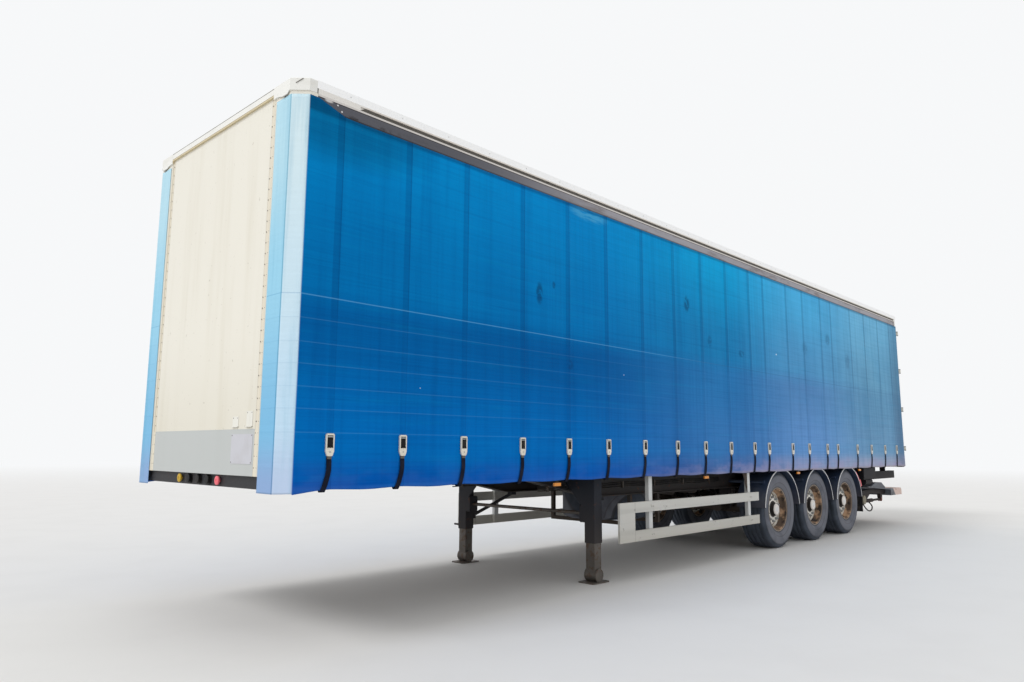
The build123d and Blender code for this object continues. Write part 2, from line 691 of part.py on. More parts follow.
# Cant rails: the hollow rails along the top of the sides, with a groove that starts behind the cap
with BuildPart() as cant_rails:
    with BuildSketch(Plane.YZ.offset(at(FRAME_FRONT))) as cant_section:
        Polygon(
            (CANT_INNER_Y, CANT_BOTTOM),
            (CANT_OUTER_Y, CANT_BOTTOM),
            (CANT_OUTER_Y, CANT_LINE_TOP),
            (CANT_GROOVE_Y, CANT_LINE_TOP),
            (CANT_GROOVE_Y, CANT_GROOVE_TOP),
            (CANT_OUTER_Y, CANT_GROOVE_TOP),
            (CANT_OUTER_Y, CANT_TOP),
            (CANT_INNER_Y, CANT_TOP),
            align=None,
        )
        offset(amount=-CANT_WALL, mode=Mode.SUBTRACT)
        with Locations(((CANT_INNER_Y + CANT_OUTER_Y) / 2, CANT_BOTTOM)):
            Rectangle(16, 2 * CANT_WALL + 1, mode=Mode.SUBTRACT)
    extrude(amount=FRAME_FRONT - RAIL_START)
    with BuildSketch(Plane.YZ.offset(at(CANT_GROOVE_START))):
        with Locations((CANT_OUTER_Y - CANT_GROOVE_DEPTH / 2, CANT_LINE_TOP + CANT_GROOVE / 2)):
            Rectangle(CANT_GROOVE_DEPTH, CANT_GROOVE)
    extrude(amount=CANT_GROOVE_START - RAIL_START)
    mirror(about=Plane.XZ)
save(cant_rails, "cant_rails")

# Roof skin with its turned-down edges
with BuildPart() as roof_skin:
    with BuildSketch(Plane.YZ.offset(at(FRAME_REAR))):
        with Locations((0, CANT_TOP + ROOF_EDGE / 2)):
            Rectangle(2 * HEADER_HALF_WIDTH, ROOF_EDGE)
        with Locations((0, CANT_TOP + ROOF_EDGE / 2 - ROOF_SKIN)):
            Rectangle(2 * (HEADER_HALF_WIDTH - ROOF_SKIN), ROOF_EDGE, mode=Mode.SUBTRACT)
    extrude(amount=FRAME_REAR - HEADER_DEPTH)
save(roof_skin, "roof_skin")

# Roof bows
with BuildPart() as roof_bows:
    bow_top = OVERALL_HEIGHT - ROOF_SKIN
    bow_span = FRAME_FRONT - HEADER_DEPTH
    for k in range(BOW_COUNT):
        station = HEADER_DEPTH + bow_span * (k + 0.5) / BOW_COUNT
        with BuildSketch(plan_plane(bow_top - BOW_HEIGHT)):
            with Locations((-station, 0)):
                Rectangle(BOW_WIDTH, 2 * CANT_INNER_Y)
        extrude(amount=BOW_HEIGHT)
save(roof_bows, "roof_bows")

# Rear frame: the portal that the doors close on
with BuildPart() as rear_frame:
    with BuildSketch(section_plane(FRAME_FRONT)) as portal:
        sill_bottom = FLOOR_TOP - FRAME_SILL_DROP
        with Locations((0, (sill_bottom + CANT_TOP) / 2)):
            Rectangle(2 * FRAME_HALF_WIDTH, CANT_TOP - sill_bottom)
        opening_top = CANT_TOP - FRAME_HEADER
        with Locations((0, (FLOOR_TOP + opening_top) / 2)):
            Rectangle(
                2 * (FRAME_HALF_WIDTH - FRAME_POST_WIDTH),
                opening_top - FLOOR_TOP,
                mode=Mode.SUBTRACT,
            )
    extrude(amount=FRAME_DEPTH)
save(rear_frame, "rear_frame")

# Fixed hinge ears and pins on the rear posts
with BuildPart() as door_hinges:
    pin_x = at(HINGE_PIN_STATION)
    ear_inner_y = HINGE_PIN_Y - HINGE_KNUCKLE_RADIUS
    for level in HINGE_LEVELS:
        for end in (1, -1):
            ear_center = level + end * (HINGE_KNUCKLE_HEIGHT / 2 + HINGE_EAR_GAP + HINGE_EAR_HEIGHT / 2)
            with BuildSketch(Plane.XY.offset(ear_center - HINGE_EAR_HEIGHT / 2)):
                with Locations((pin_x, HINGE_PIN_Y)):
                    Circle(HINGE_KNUCKLE_RADIUS)
                with Locations(((pin_x + at(FRAME_REAR)) / 2, (ear_inner_y + FRAME_HALF_WIDTH + 4) / 2)):
                    Rectangle(at(FRAME_REAR) - pin_x, FRAME_HALF_WIDTH + 4 - ear_inner_y)
            extrude(amount=HINGE_EAR_HEIGHT)
        with BuildSketch(Plane.XY.offset(level - HINGE_KNUCKLE_HEIGHT / 2 - HINGE_EAR_GAP - 1)):
            with Locations((pin_x, HINGE_PIN_Y)):
                Circle(HINGE_PIN_RADIUS)
        extrude(amount=HINGE_KNUCKLE_HEIGHT + 2 * HINGE_EAR_GAP + 2)
    mirror(about=Plane.XZ)
save(door_hinges, "door_hinges")

# Rear doors with their hinge straps
door_front = FRAME_REAR + DOOR_GAP
door_rear = door_front + DOOR_THICKNESS


def rear_door(side):
    """A door leaf, recessed inside its stiles on both faces, with four cranked hinge straps."""
    inner_y = DOOR_MIDDLE_GAP / 2
    with BuildPart() as door:
        with BuildSketch(plan_plane(DOOR_BOTTOM)):
            with Locations((-(door_front + door_rear) / 2, (inner_y + DOOR_OUTER_Y) / 2)):
                Rectangle(DOOR_THICKNESS, DOOR_OUTER_Y - inner_y)
        extrude(amount=DOOR_TOP - DOOR_BOTTOM)
        for face in (door_front, door_rear - DOOR_PANEL_RECESS):
            with BuildSketch(section_plane(face)):
                with Locations((-(inner_y + DOOR_OUTER_Y) / 2, (DOOR_BOTTOM + DOOR_TOP) / 2)):
                    Rectangle(
                        DOOR_OUTER_Y - inner_y - 2 * DOOR_STILE,
                        DOOR_TOP - DOOR_BOTTOM - 2 * DOOR_STILE,
                    )
            extrude(amount=DOOR_PANEL_RECESS, mode=Mode.SUBTRACT)
        for level in HINGE_LEVELS:
            with BuildSketch(plan_plane(level - HINGE_KNUCKLE_HEIGHT / 2)):
                pin = (-HINGE_PIN_STATION, HINGE_PIN_Y)
                with Locations(pin):
                    Circle(HINGE_KNUCKLE_RADIUS)
                strap_end = DOOR_OUTER_Y - HINGE_STRAP_LENGTH
                Polygon(
                    (-HINGE_PIN_STATION - HINGE_KNUCKLE_RADIUS + 4, HINGE_PIN_Y - 2),
                    (-door_rear - HINGE_STRAP_THICKNESS, DOOR_OUTER_Y - 40),
                    (-door_rear - HINGE_STRAP_THICKNESS, strap_end),
                    (-door_rear, strap_end),
                    (-door_rear, DOOR_OUTER_Y - 10),
                    (-HINGE_PIN_STATION + HINGE_KNUCKLE_RADIUS - 6, HINGE_PIN_Y - 10),
                    align=None,
                )
                with Locations(pin):
                    Circle(HINGE_PIN_RADIUS + HINGE_BORE_GAP, mode=Mode.SUBTRACT)
            extrude(amount=HINGE_KNUCKLE_HEIGHT)
        if side < 0:
            mirror(about=Plane.XZ, mode=Mode.REPLACE)
    return door


for side_name, side in SIDES:
    save(rear_door(side), f"door_{side_name}")


# Lock rods with their guides and handles, one set for each door
def lock_set(side):
    """Two lock rods held by guides, each with a flat handle."""
    rod_station = door_rear + LOCK_ROD_STANDOFF
    with BuildPart() as locks:
        for rod_y in LOCK_ROD_Y:
            with BuildSketch(plan_plane(DOOR_BOTTOM + LOCK_ROD_END_GAP)):
                with Locations((-rod_station, rod_y)):
                    Circle(LOCK_ROD_RADIUS)
            extrude(amount=DOOR_TOP - DOOR_BOTTOM - 2 * LOCK_ROD_END_GAP)
            for level in LOCK_GUIDE_LEVELS:
                guide_depth = LOCK_ROD_STANDOFF + LOCK_ROD_RADIUS + 2
                face = door_rear - DOOR_PANEL_RECESS
                if level < DOOR_BOTTOM + DOOR_STILE or level > DOOR_TOP - DOOR_STILE:
                    face = door_rear
                with BuildSketch(plan_plane(level - LOCK_GUIDE_HEIGHT / 2)):
                    with Locations((-(face + door_rear + guide_depth) / 2, rod_y)):
                        Rectangle(door_rear + guide_depth - face, 2 * LOCK_ROD_RADIUS + 24)
                extrude(amount=LOCK_GUIDE_HEIGHT)
            with BuildSketch(plan_plane(FLOOR_TOP + LOCK_HANDLE_RISE)):
                with Locations((-rod_station, rod_y - LOCK_HANDLE_LENGTH / 2)):
                    Rectangle(10, LOCK_HANDLE_LENGTH)
            extrude(amount=LOCK_HANDLE_HEIGHT)
        if side < 0:
            mirror(about=Plane.XZ, mode=Mode.REPLACE)
    return locks


for side_name, side in SIDES:
    save(lock_set(side), f"door_locks_{side_name}")

# Rubber buffers on the sill
with BuildPart() as rear_buffers:
    for side in (1, -1):
        with BuildSketch(section_plane(FRAME_REAR)) as buffer_face:
            with Locations((side * BUFFER_Y, SILL_FITTING_LEVEL)):
                RectangleRounded(BUFFER_WIDTH, BUFFER_HEIGHT, 20)
        extrude(amount=BODY_LENGTH + BUFFER_REACH - FRAME_REAR)
save(rear_buffers, "rear_buffers")


# Curtains: thin sheets that wrap round the slanted front corners
def curtain(side):
    """The side sheet with its front wrap, cut to the rising top edge at the front."""
    outer_y = BODY_HALF_WIDTH - CURTAIN_SEAT
    front_edge_y = POST_INNER_Y + CURTAIN_FRONT_LAP
    with BuildPart() as sheet:
        with BuildSketch(plan_plane(CURTAIN_HEM)) as plan:
            with BuildLine():
                Polyline(
                    (0, front_edge_y),
                    (0, outer_y - CORNER_CUT),
                    (-CORNER_CUT, outer_y),
                    (-CURTAIN_END, outer_y),
                    (-CURTAIN_END, outer_y - CURTAIN_THICKNESS),
                    (-CORNER_CUT - 1.2, outer_y - CURTAIN_THICKNESS),
                    (-CURTAIN_THICKNESS, outer_y - CORNER_CUT - 1.2),
                    (-CURTAIN_THICKNESS, front_edge_y),
                    close=True,
                )
            make_face()
        extrude(amount=CURTAIN_FRONT_TOP - CURTAIN_HEM)
        with BuildSketch(side_plane(0)):
            Polygon(
                (CURTAIN_RISE_END, CURTAIN_FRONT_TOP),
                (CURTAIN_RISE_START, CURTAIN_TOP),
                (CURTAIN_END + 1, CURTAIN_TOP),
                (CURTAIN_END + 1, CURTAIN_FRONT_TOP + 1),
                (CURTAIN_RISE_END, CURTAIN_FRONT_TOP + 1),
                align=None,
            )
        extrude(amount=BODY_HALF_WIDTH + 1, mode=Mode.SUBTRACT)
        if side < 0:
            mirror(about=Plane.XZ, mode=Mode.REPLACE)
    return sheet


for side_name, side in SIDES:
    save(curtain(side), f"curtain_{side_name}")

# Buckles: a frame with an open window, tapering to the clip that holds the strap
with BuildPart() as curtain_buckles:
    for station in BUCKLES:
        with BuildSketch(side_plane(BODY_HALF_WIDTH)) as buckle_face:
            Polygon(
                (station - BUCKLE_WIDTH / 2, BUCKLE_TOP),
                (station + BUCKLE_WIDTH / 2, BUCKLE_TOP),
                (station + BUCKLE_WIDTH / 2, BUCKLE_BOTTOM + BUCKLE_SHOULDER),
                (station + BUCKLE_TAIL_WIDTH / 2, BUCKLE_BOTTOM),
                (station + BUCKLE_TAIL_WIDTH / 2, BUCKLE_TAIL),
                (station - BUCKLE_TAIL_WIDTH / 2, BUCKLE_TAIL),
                (station - BUCKLE_TAIL_WIDTH / 2, BUCKLE_BOTTOM),
                (station - BUCKLE_WIDTH / 2, BUCKLE_BOTTOM + BUCKLE_SHOULDER),
                align=None,
            )
            with Locations((station, BUCKLE_TOP - BUCKLE_RIM - BUCKLE_WINDOW / 2)):
                Rectangle(BUCKLE_WIDTH - 2 * BUCKLE_RIM, BUCKLE_WINDOW, mode=Mode.SUBTRACT)
        extrude(amount=BUCKLE_DEPTH)
    mirror(about=Plane.XZ)
save(curtain_buckles, "curtain_buckles")

# Straps: from each buckle down over the hem and hooked under the side rail
with BuildPart() as curtain_straps:
    strap_inner = BODY_HALF_WIDTH - CURTAIN_SEAT + STRAP_GAP
    strap_outer = strap_inner + STRAP_THICKNESS
    for station in BUCKLES:
        with BuildSketch(Plane.YZ.offset(at(station) - STRAP_WIDTH / 2)):
            Polygon(
                (strap_inner, BUCKLE_TAIL),
                (strap_outer, BUCKLE_TAIL),
                (strap_outer, STRAP_BOTTOM),
                (STRAP_HOOK_Y - STRAP_THICKNESS, STRAP_BOTTOM),
                (STRAP_HOOK_Y - STRAP_THICKNESS, RAIL_BOTTOM),
                (STRAP_HOOK_Y, RAIL_BOTTOM),
                (STRAP_HOOK_Y, STRAP_BOTTOM + STRAP_THICKNESS),
                (strap_inner, STRAP_BOTTOM + STRAP_THICKNESS),
                align=None,
            )
        extrude(amount=STRAP_WIDTH)
    mirror(about=Plane.XZ)
save(curtain_straps, "curtain_straps")

# Sliding side pillars: channels open to the inside
with BuildPart() as side_pillars:
    for station in PILLAR_STATIONS:
        with BuildSketch(plan_plane(FLOOR_TOP)):
            with Locations((-station, RAIL_INNER_Y + PILLAR_DEPTH / 2)):
                Rectangle(PILLAR_LENGTH, PILLAR_DEPTH)
            with Locations((-station, RAIL_INNER_Y + PILLAR_DEPTH / 2 - PILLAR_WALL)):
                Rectangle(PILLAR_LENGTH - 2 * PILLAR_WALL, PILLAR_DEPTH, mode=Mode.SUBTRACT)
        extrude(amount=CANT_BOTTOM - FLOOR_TOP)
    mirror(about=Plane.XZ)
save(side_pillars, "side_pillars")


# Tyres and rims
def tyre_section(center_y, rim_gap):
    """Half of a tyre's section, from the bead to the tread, drawn in radius and y."""
    half = TYRE_WIDTH / 2
    bead = RIM_SEAT_RADIUS + rim_gap
    Polygon(
        (bead, center_y - TYRE_BEAD_WIDTH / 2),
        (bead + 45, center_y - TYRE_BEAD_WIDTH / 2 - 18),
        (TYRE_RADIUS - 135, center_y - half),
        (TYRE_RADIUS - 65, center_y - half + 4),
        (TYRE_RADIUS - TYRE_SHOULDER_DROP, center_y - half + 16),
        (TYRE_RADIUS - 6, center_y - TYRE_TREAD_WIDTH / 2),
        (TYRE_RADIUS, center_y - TYRE_TREAD_WIDTH / 2 + 30),
        (TYRE_RADIUS, center_y + TYRE_TREAD_WIDTH / 2 - 30),
        (TYRE_RADIUS - 6, center_y + TYRE_TREAD_WIDTH / 2),
        (TYRE_RADIUS - TYRE_SHOULDER_DROP, center_y + half - 16),
        (TYRE_RADIUS - 65, center_y + half - 4),
        (TYRE_RADIUS - 135, center_y + half),
        (bead + 45, center_y + TYRE_BEAD_WIDTH / 2 + 18),
        (bead, center_y + TYRE_BEAD_WIDTH / 2),
        align=None,
    )


def wheel_plane(station):
    """A plane through an axle, drawn in distance forward of it and y."""
    return Plane(origin=(at(station), 0, TYRE_RADIUS), x_dir=(1, 0, 0), z_dir=(0, 0, 1))


def tyre(station, side):
    """A tyre on one side of an axle."""
    with BuildPart() as ring:
        with BuildSketch(wheel_plane(station)):
            tyre_section(WHEEL_OUTER_Y - TYRE_WIDTH / 2, RIM_FIT_GAP)
        revolve(axis=Axis((at(station), 0, TYRE_RADIUS), (0, 1, 0)))
        if side < 0:
            mirror(about=Plane.XZ, mode=Mode.REPLACE)
    return ring


def wheel(station, side):
    """A rim and its dished disc with hand holes, on the hub, drum and cap."""
    center = WHEEL_OUTER_Y - TYRE_WIDTH / 2
    lip_out = center + TYRE_BEAD_WIDTH / 2 + 14
    lip_in = center - TYRE_BEAD_WIDTH / 2 - 14
    disc_out = lip_out - DISC_SETBACK
    axis = Axis((at(station), 0, TYRE_RADIUS), (0, 1, 0))
    with BuildPart() as disc:
        with BuildSketch(wheel_plane(station)):
            Polygon(
                (RIM_FLANGE_RADIUS, lip_out),
                (RIM_SEAT_RADIUS, lip_out - 12),
                (RIM_SEAT_RADIUS, lip_out - 55),
                (RIM_WELL_RADIUS + RIM_WALL, lip_out - 95),
                (RIM_WELL_RADIUS + RIM_WALL, lip_in + 95),
                (RIM_SEAT_RADIUS, lip_in + 55),
                (RIM_SEAT_RADIUS, lip_in + 12),
                (RIM_FLANGE_RADIUS, lip_in),
                (RIM_FLANGE_RADIUS - 10, lip_in),
                (RIM_SEAT_RADIUS - RIM_WALL, lip_in + 14),
                (RIM_SEAT_RADIUS - RIM_WALL, lip_in + 58),
                (RIM_WELL_RADIUS, lip_in + 98),
                (RIM_WELL_RADIUS, disc_out - 60),
                (DISC_BOLT_RADIUS, disc_out - DISC_THICKNESS),
                (HUB_RADIUS, disc_out - DISC_THICKNESS),
                (HUB_RADIUS, disc_out),
                (DISC_BOLT_RADIUS + 4, disc_out),
                (RIM_WELL_RADIUS, disc_out - 42),
                (RIM_WELL_RADIUS, lip_out - 98),
                (RIM_SEAT_RADIUS - RIM_WALL, lip_out - 58),
                (RIM_SEAT_RADIUS - RIM_WALL, lip_out - 14),
                (RIM_FLANGE_RADIUS - 10, lip_out),
                align=None,
            )
        revolve(axis=axis)
        with BuildSketch(Plane(origin=(at(station), lip_out, TYRE_RADIUS), x_dir=(-1, 0, 0), z_dir=(0, 1, 0))):
            with PolarLocations(HAND_HOLE_CIRCLE, HAND_HOLES):
                Circle(HAND_HOLE_RADIUS)
        extrude(amount=-DISC_SETBACK - 90, mode=Mode.SUBTRACT)
        hub_back = disc_out - DISC_THICKNESS - DRUM_WIDTH
        bore = SPINDLE_RADIUS + HUB_BORE_GAP
        with BuildSketch(wheel_plane(station)):
            Polygon(
                (bore, disc_out + 5),
                (0, disc_out + 5),
                (0, lip_out + HUB_CAP_FRONT - 50),
                (HUB_CAP_RADIUS - 22, lip_out + HUB_CAP_FRONT - 50),
                (HUB_CAP_RADIUS, lip_out + HUB_CAP_FRONT - 76),
                (HUB_CAP_RADIUS, disc_out + 22),
                (HUB_RADIUS, disc_out + 8),
                (HUB_RADIUS, disc_out - DISC_THICKNESS),
                (DISC_BOLT_RADIUS - 10, disc_out - DISC_THICKNESS),
                (DRUM_RADIUS, disc_out - DISC_THICKNESS - 16),
                (DRUM_RADIUS, hub_back),
                (DRUM_RADIUS - 16, hub_back),
                (DRUM_RADIUS - 16, disc_out - DISC_THICKNESS - 30),
                (HUB_CAP_RADIUS, disc_out - DISC_THICKNESS - 30),
                (HUB_CAP_RADIUS - 10, hub_back + 50),
                (bore, hub_back + 50),
                align=None,
            )
        revolve(axis=axis)
        if side < 0:
            mirror(about=Plane.XZ, mode=Mode.REPLACE)
    return disc


for number, station in enumerate(AXLE_STATIONS, 1):
    for side_name, side in SIDES:
        save(tyre(station, side), f"tyre_{number}_{side_name}")
        save(wheel(station, side), f"wheel_{number}_{side_name}")

# Axles: a tube, two spindles and two brake chambers each
with BuildPart() as axles:
    spindle_tip = WHEEL_OUTER_Y - TYRE_WIDTH / 2 + TYRE_BEAD_WIDTH / 2 + 14 - DISC_SETBACK
    for station in AXLE_STATIONS:
        with BuildSketch(side_plane(-AXLE_TUBE_HALF)):
            with Locations((station, TYRE_RADIUS)):
                Circle(AXLE_TUBE_RADIUS)
        extrude(amount=2 * AXLE_TUBE_HALF)
        with BuildSketch(side_plane(-spindle_tip)):
            with Locations((station, TYRE_RADIUS)):
                Circle(SPINDLE_RADIUS)
        extrude(amount=2 * spindle_tip)
        for side in (1, -1):
            with BuildSketch(section_plane(station - CHAMBER_GAP - CHAMBER_LENGTH)):
                with Locations((side * CHAMBER_Y, TYRE_RADIUS + CHAMBER_RISE)):
                    Circle(CHAMBER_RADIUS)
            extrude(amount=CHAMBER_LENGTH)
save(axles, "axles")

# Suspension: hangers under the beams, trailing arms over the axles, air springs and dampers
with BuildPart() as spring_hangers:
    for station in AXLE_STATIONS:
        pivot = station - ARM_PIVOT_AHEAD
        with BuildSketch(side_plane(ARM_Y - HANGER_WIDTH / 2)) as hanger_side:
            Polygon(
                (pivot - HANGER_LENGTH / 2, BEAM_BOTTOM),
                (pivot + HANGER_LENGTH / 2, BEAM_BOTTOM),
                (pivot + HANGER_LENGTH / 2, HANGER_BOTTOM + 60),
                (pivot + HANGER_LENGTH / 2 - 50, HANGER_BOTTOM),
                (pivot - HANGER_LENGTH / 2 + 50, HANGER_BOTTOM),
                (pivot - HANGER_LENGTH / 2, HANGER_BOTTOM + 60),
                align=None,
            )
        extrude(amount=HANGER_WIDTH)
        with BuildSketch(side_plane(ARM_Y - HANGER_WIDTH / 2 + HANGER_WALL)):
            with Locations((pivot + HANGER_WALL, (HANGER_BOTTOM + BEAM_BOTTOM) / 2 - HANGER_WALL)):
                Rectangle(HANGER_LENGTH, BEAM_BOTTOM - HANGER_BOTTOM, mode=Mode.ADD)
        extrude(amount=HANGER_WIDTH - 2 * HANGER_WALL, mode=Mode.SUBTRACT)
        with BuildSketch(side_plane(ARM_Y - HANGER_WIDTH / 2 - 18)):
            with Locations((pivot, ARM_PIVOT_LEVEL)):
                Circle(PIVOT_BOLT_RADIUS)
        extrude(amount=HANGER_WIDTH + 36)
    mirror(about=Plane.XZ)
save(spring_hangers, "spring_hangers")

with BuildPart() as trailing_arms:
    arm_seat = TYRE_RADIUS + AXLE_TUBE_RADIUS
    for station in AXLE_STATIONS:
        pivot = station - ARM_PIVOT_AHEAD
        with BuildSketch(side_plane(ARM_Y - ARM_WIDTH / 2)) as arm_side:
            with BuildLine():
                Polyline(
                    (pivot, ARM_PIVOT_LEVEL - ARM_THICKNESS / 2),
                    (station - ARM_SEAT_LENGTH / 2, arm_seat),
                    (station + ARM_SEAT_LENGTH / 2, arm_seat),
                    (station + 230, arm_seat - ARM_DROP),
                    (station + ARM_TAIL, arm_seat - ARM_DROP),
                    (station + ARM_TAIL, arm_seat - ARM_DROP + ARM_THICKNESS / 2),
                    (station + 230, arm_seat - ARM_DROP + ARM_THICKNESS / 2),
                    (station + ARM_SEAT_LENGTH / 2, arm_seat + ARM_THICKNESS),
                    (station - ARM_SEAT_LENGTH / 2, arm_seat + ARM_THICKNESS),
                    (pivot, ARM_PIVOT_LEVEL + ARM_THICKNESS / 2),
                    close=True,
                )
            make_face()
            with Locations((pivot, ARM_PIVOT_LEVEL)):
                Circle(PIVOT_RADIUS + 14)
                Circle(PIVOT_BOLT_RADIUS + SLOT_GAP, mode=Mode.SUBTRACT)
        extrude(amount=ARM_WIDTH)
    mirror(about=Plane.XZ)
save(trailing_arms, "trailing_arms")

with BuildPart() as air_springs:
    seat = TYRE_RADIUS + AXLE_TUBE_RADIUS - ARM_DROP + ARM_THICKNESS / 2
    for station in AXLE_STATIONS:
        spring_x = at(station + ARM_SPRING_BEHIND)
        with BuildSketch(Plane(origin=(spring_x, ARM_Y, 0), x_dir=(1, 0, 0), z_dir=(0, -1, 0))):
            Polygon(
                (0, seat),
                (AIR_SPRING_PISTON, seat),
                (AIR_SPRING_PISTON - 8, seat + 40),
                (AIR_SPRING_RADIUS - 10, seat + 58),
                (AIR_SPRING_RADIUS, seat + 90),
                (AIR_SPRING_RADIUS, BEAM_BOTTOM - 60),
                (AIR_SPRING_RADIUS - 18, BEAM_BOTTOM - 20),
                (AIR_SPRING_PISTON, BEAM_BOTTOM - 12),
                (AIR_SPRING_PISTON, BEAM_BOTTOM),
                (0, BEAM_BOTTOM),
                align=None,
            )
        revolve(axis=Axis((spring_x, ARM_Y, 0), (0, 0, 1)))
    mirror(about=Plane.XZ)
save(air_springs, "air_springs")

with BuildPart() as shock_absorbers:
    for station in AXLE_STATIONS:
        lower = Vector(at(station + 10), SHOCK_Y, TYRE_RADIUS + AXLE_TUBE_RADIUS + SHOCK_EYE)
        upper = Vector(at(station - SHOCK_REACH), SHOCK_Y, BEAM_BOTTOM - 40)
        along = (upper - lower).normalized()
        length = (upper - lower).length
        with BuildSketch(Plane(origin=lower, z_dir=along)):
            Circle(SHOCK_RADIUS)
        extrude(amount=length * 0.62)
        with BuildSketch(Plane(origin=lower + along * length * 0.62, z_dir=along)):
            Circle(SHOCK_ROD_RADIUS)
        extrude(amount=length * 0.38)
        with BuildSketch(side_plane(SHOCK_Y - 30)):
            with Locations((station - SHOCK_REACH, BEAM_BOTTOM - 30)):
                Rectangle(70, 60)
        extrude(amount=BEAM_Y - BEAM_FLANGE_WIDTH / 2 + 10 - SHOCK_Y + 30)
        with BuildSketch(side_plane(SHOCK_Y - 30)):
            with Locations((station, TYRE_RADIUS + AXLE_TUBE_RADIUS + SHOCK_EYE / 2 + SLOT_GAP)):
                Rectangle(70, SHOCK_EYE)
        extrude(amount=60)
    mirror(about=Plane.XZ)
save(shock_absorbers, "shock_absorbers")


# Mudguards: half-round shells with an inward lip, each on two stays from the main beam
def guard_arch(station, outer, inner, face_y):
    """The part of a ring round the wheel that lies above the guard's ends, drawn at a face."""
    with BuildSketch(side_plane(face_y)) as arch:
        with Locations((station, TYRE_RADIUS)):
            Circle(outer)
            Circle(inner, mode=Mode.SUBTRACT)
        end_level = TYRE_RADIUS + GUARD_RADIUS * sin(radians(GUARD_END_ANGLE))
        with Locations((station, end_level - GUARD_RADIUS)):
            Rectangle(3 * GUARD_RADIUS, 2 * GUARD_RADIUS, mode=Mode.SUBTRACT)
    return arch.sketch


with BuildPart() as mudguards:
    for station in AXLE_STATIONS:
        shell_outer = GUARD_RADIUS + GUARD_THICKNESS
        extrude(guard_arch(station, shell_outer, GUARD_RADIUS, GUARD_INNER_Y), amount=GUARD_WIDTH)
        lip_face = GUARD_OUTER_Y - GUARD_LIP_THICKNESS
        extrude(
            guard_arch(station, shell_outer, GUARD_RADIUS - GUARD_LIP, lip_face),
            amount=GUARD_LIP_THICKNESS,
        )
        for angle in STAY_ANGLES:
            reach = shell_outer + STAY_RADIUS - 2
            with BuildSketch(side_plane(BEAM_Y + BEAM_WEB / 2)):
                with Locations((station - reach * cos(radians(angle)), TYRE_RADIUS + reach * sin(radians(angle)))):
                    Circle(STAY_RADIUS)
            extrude(amount=GUARD_OUTER_Y - 60 - BEAM_Y - BEAM_WEB / 2)
    mirror(about=Plane.XZ)
save(mudguards, "mudguards")

# Mud flaps behind the last wheels
with BuildPart() as mud_flaps:
    guard_end = (GUARD_RADIUS + GUARD_THICKNESS) * cos(radians(GUARD_END_ANGLE))
    flap_station = AXLE_STATIONS[-1] + guard_end
    flap_top = TYRE_RADIUS + GUARD_RADIUS * sin(radians(GUARD_END_ANGLE)) + FLAP_LAP
    with BuildSketch(plan_plane(FLAP_BOTTOM)):
        with Locations((-flap_station - FLAP_THICKNESS / 2 - SLOT_GAP, (GUARD_INNER_Y + GUARD_OUTER_Y) / 2)):
            Rectangle(FLAP_THICKNESS, GUARD_OUTER_Y - GUARD_INNER_Y)
    extrude(amount=flap_top - FLAP_BOTTOM)
    mirror(about=Plane.XZ)
save(mud_flaps, "mud_flaps")

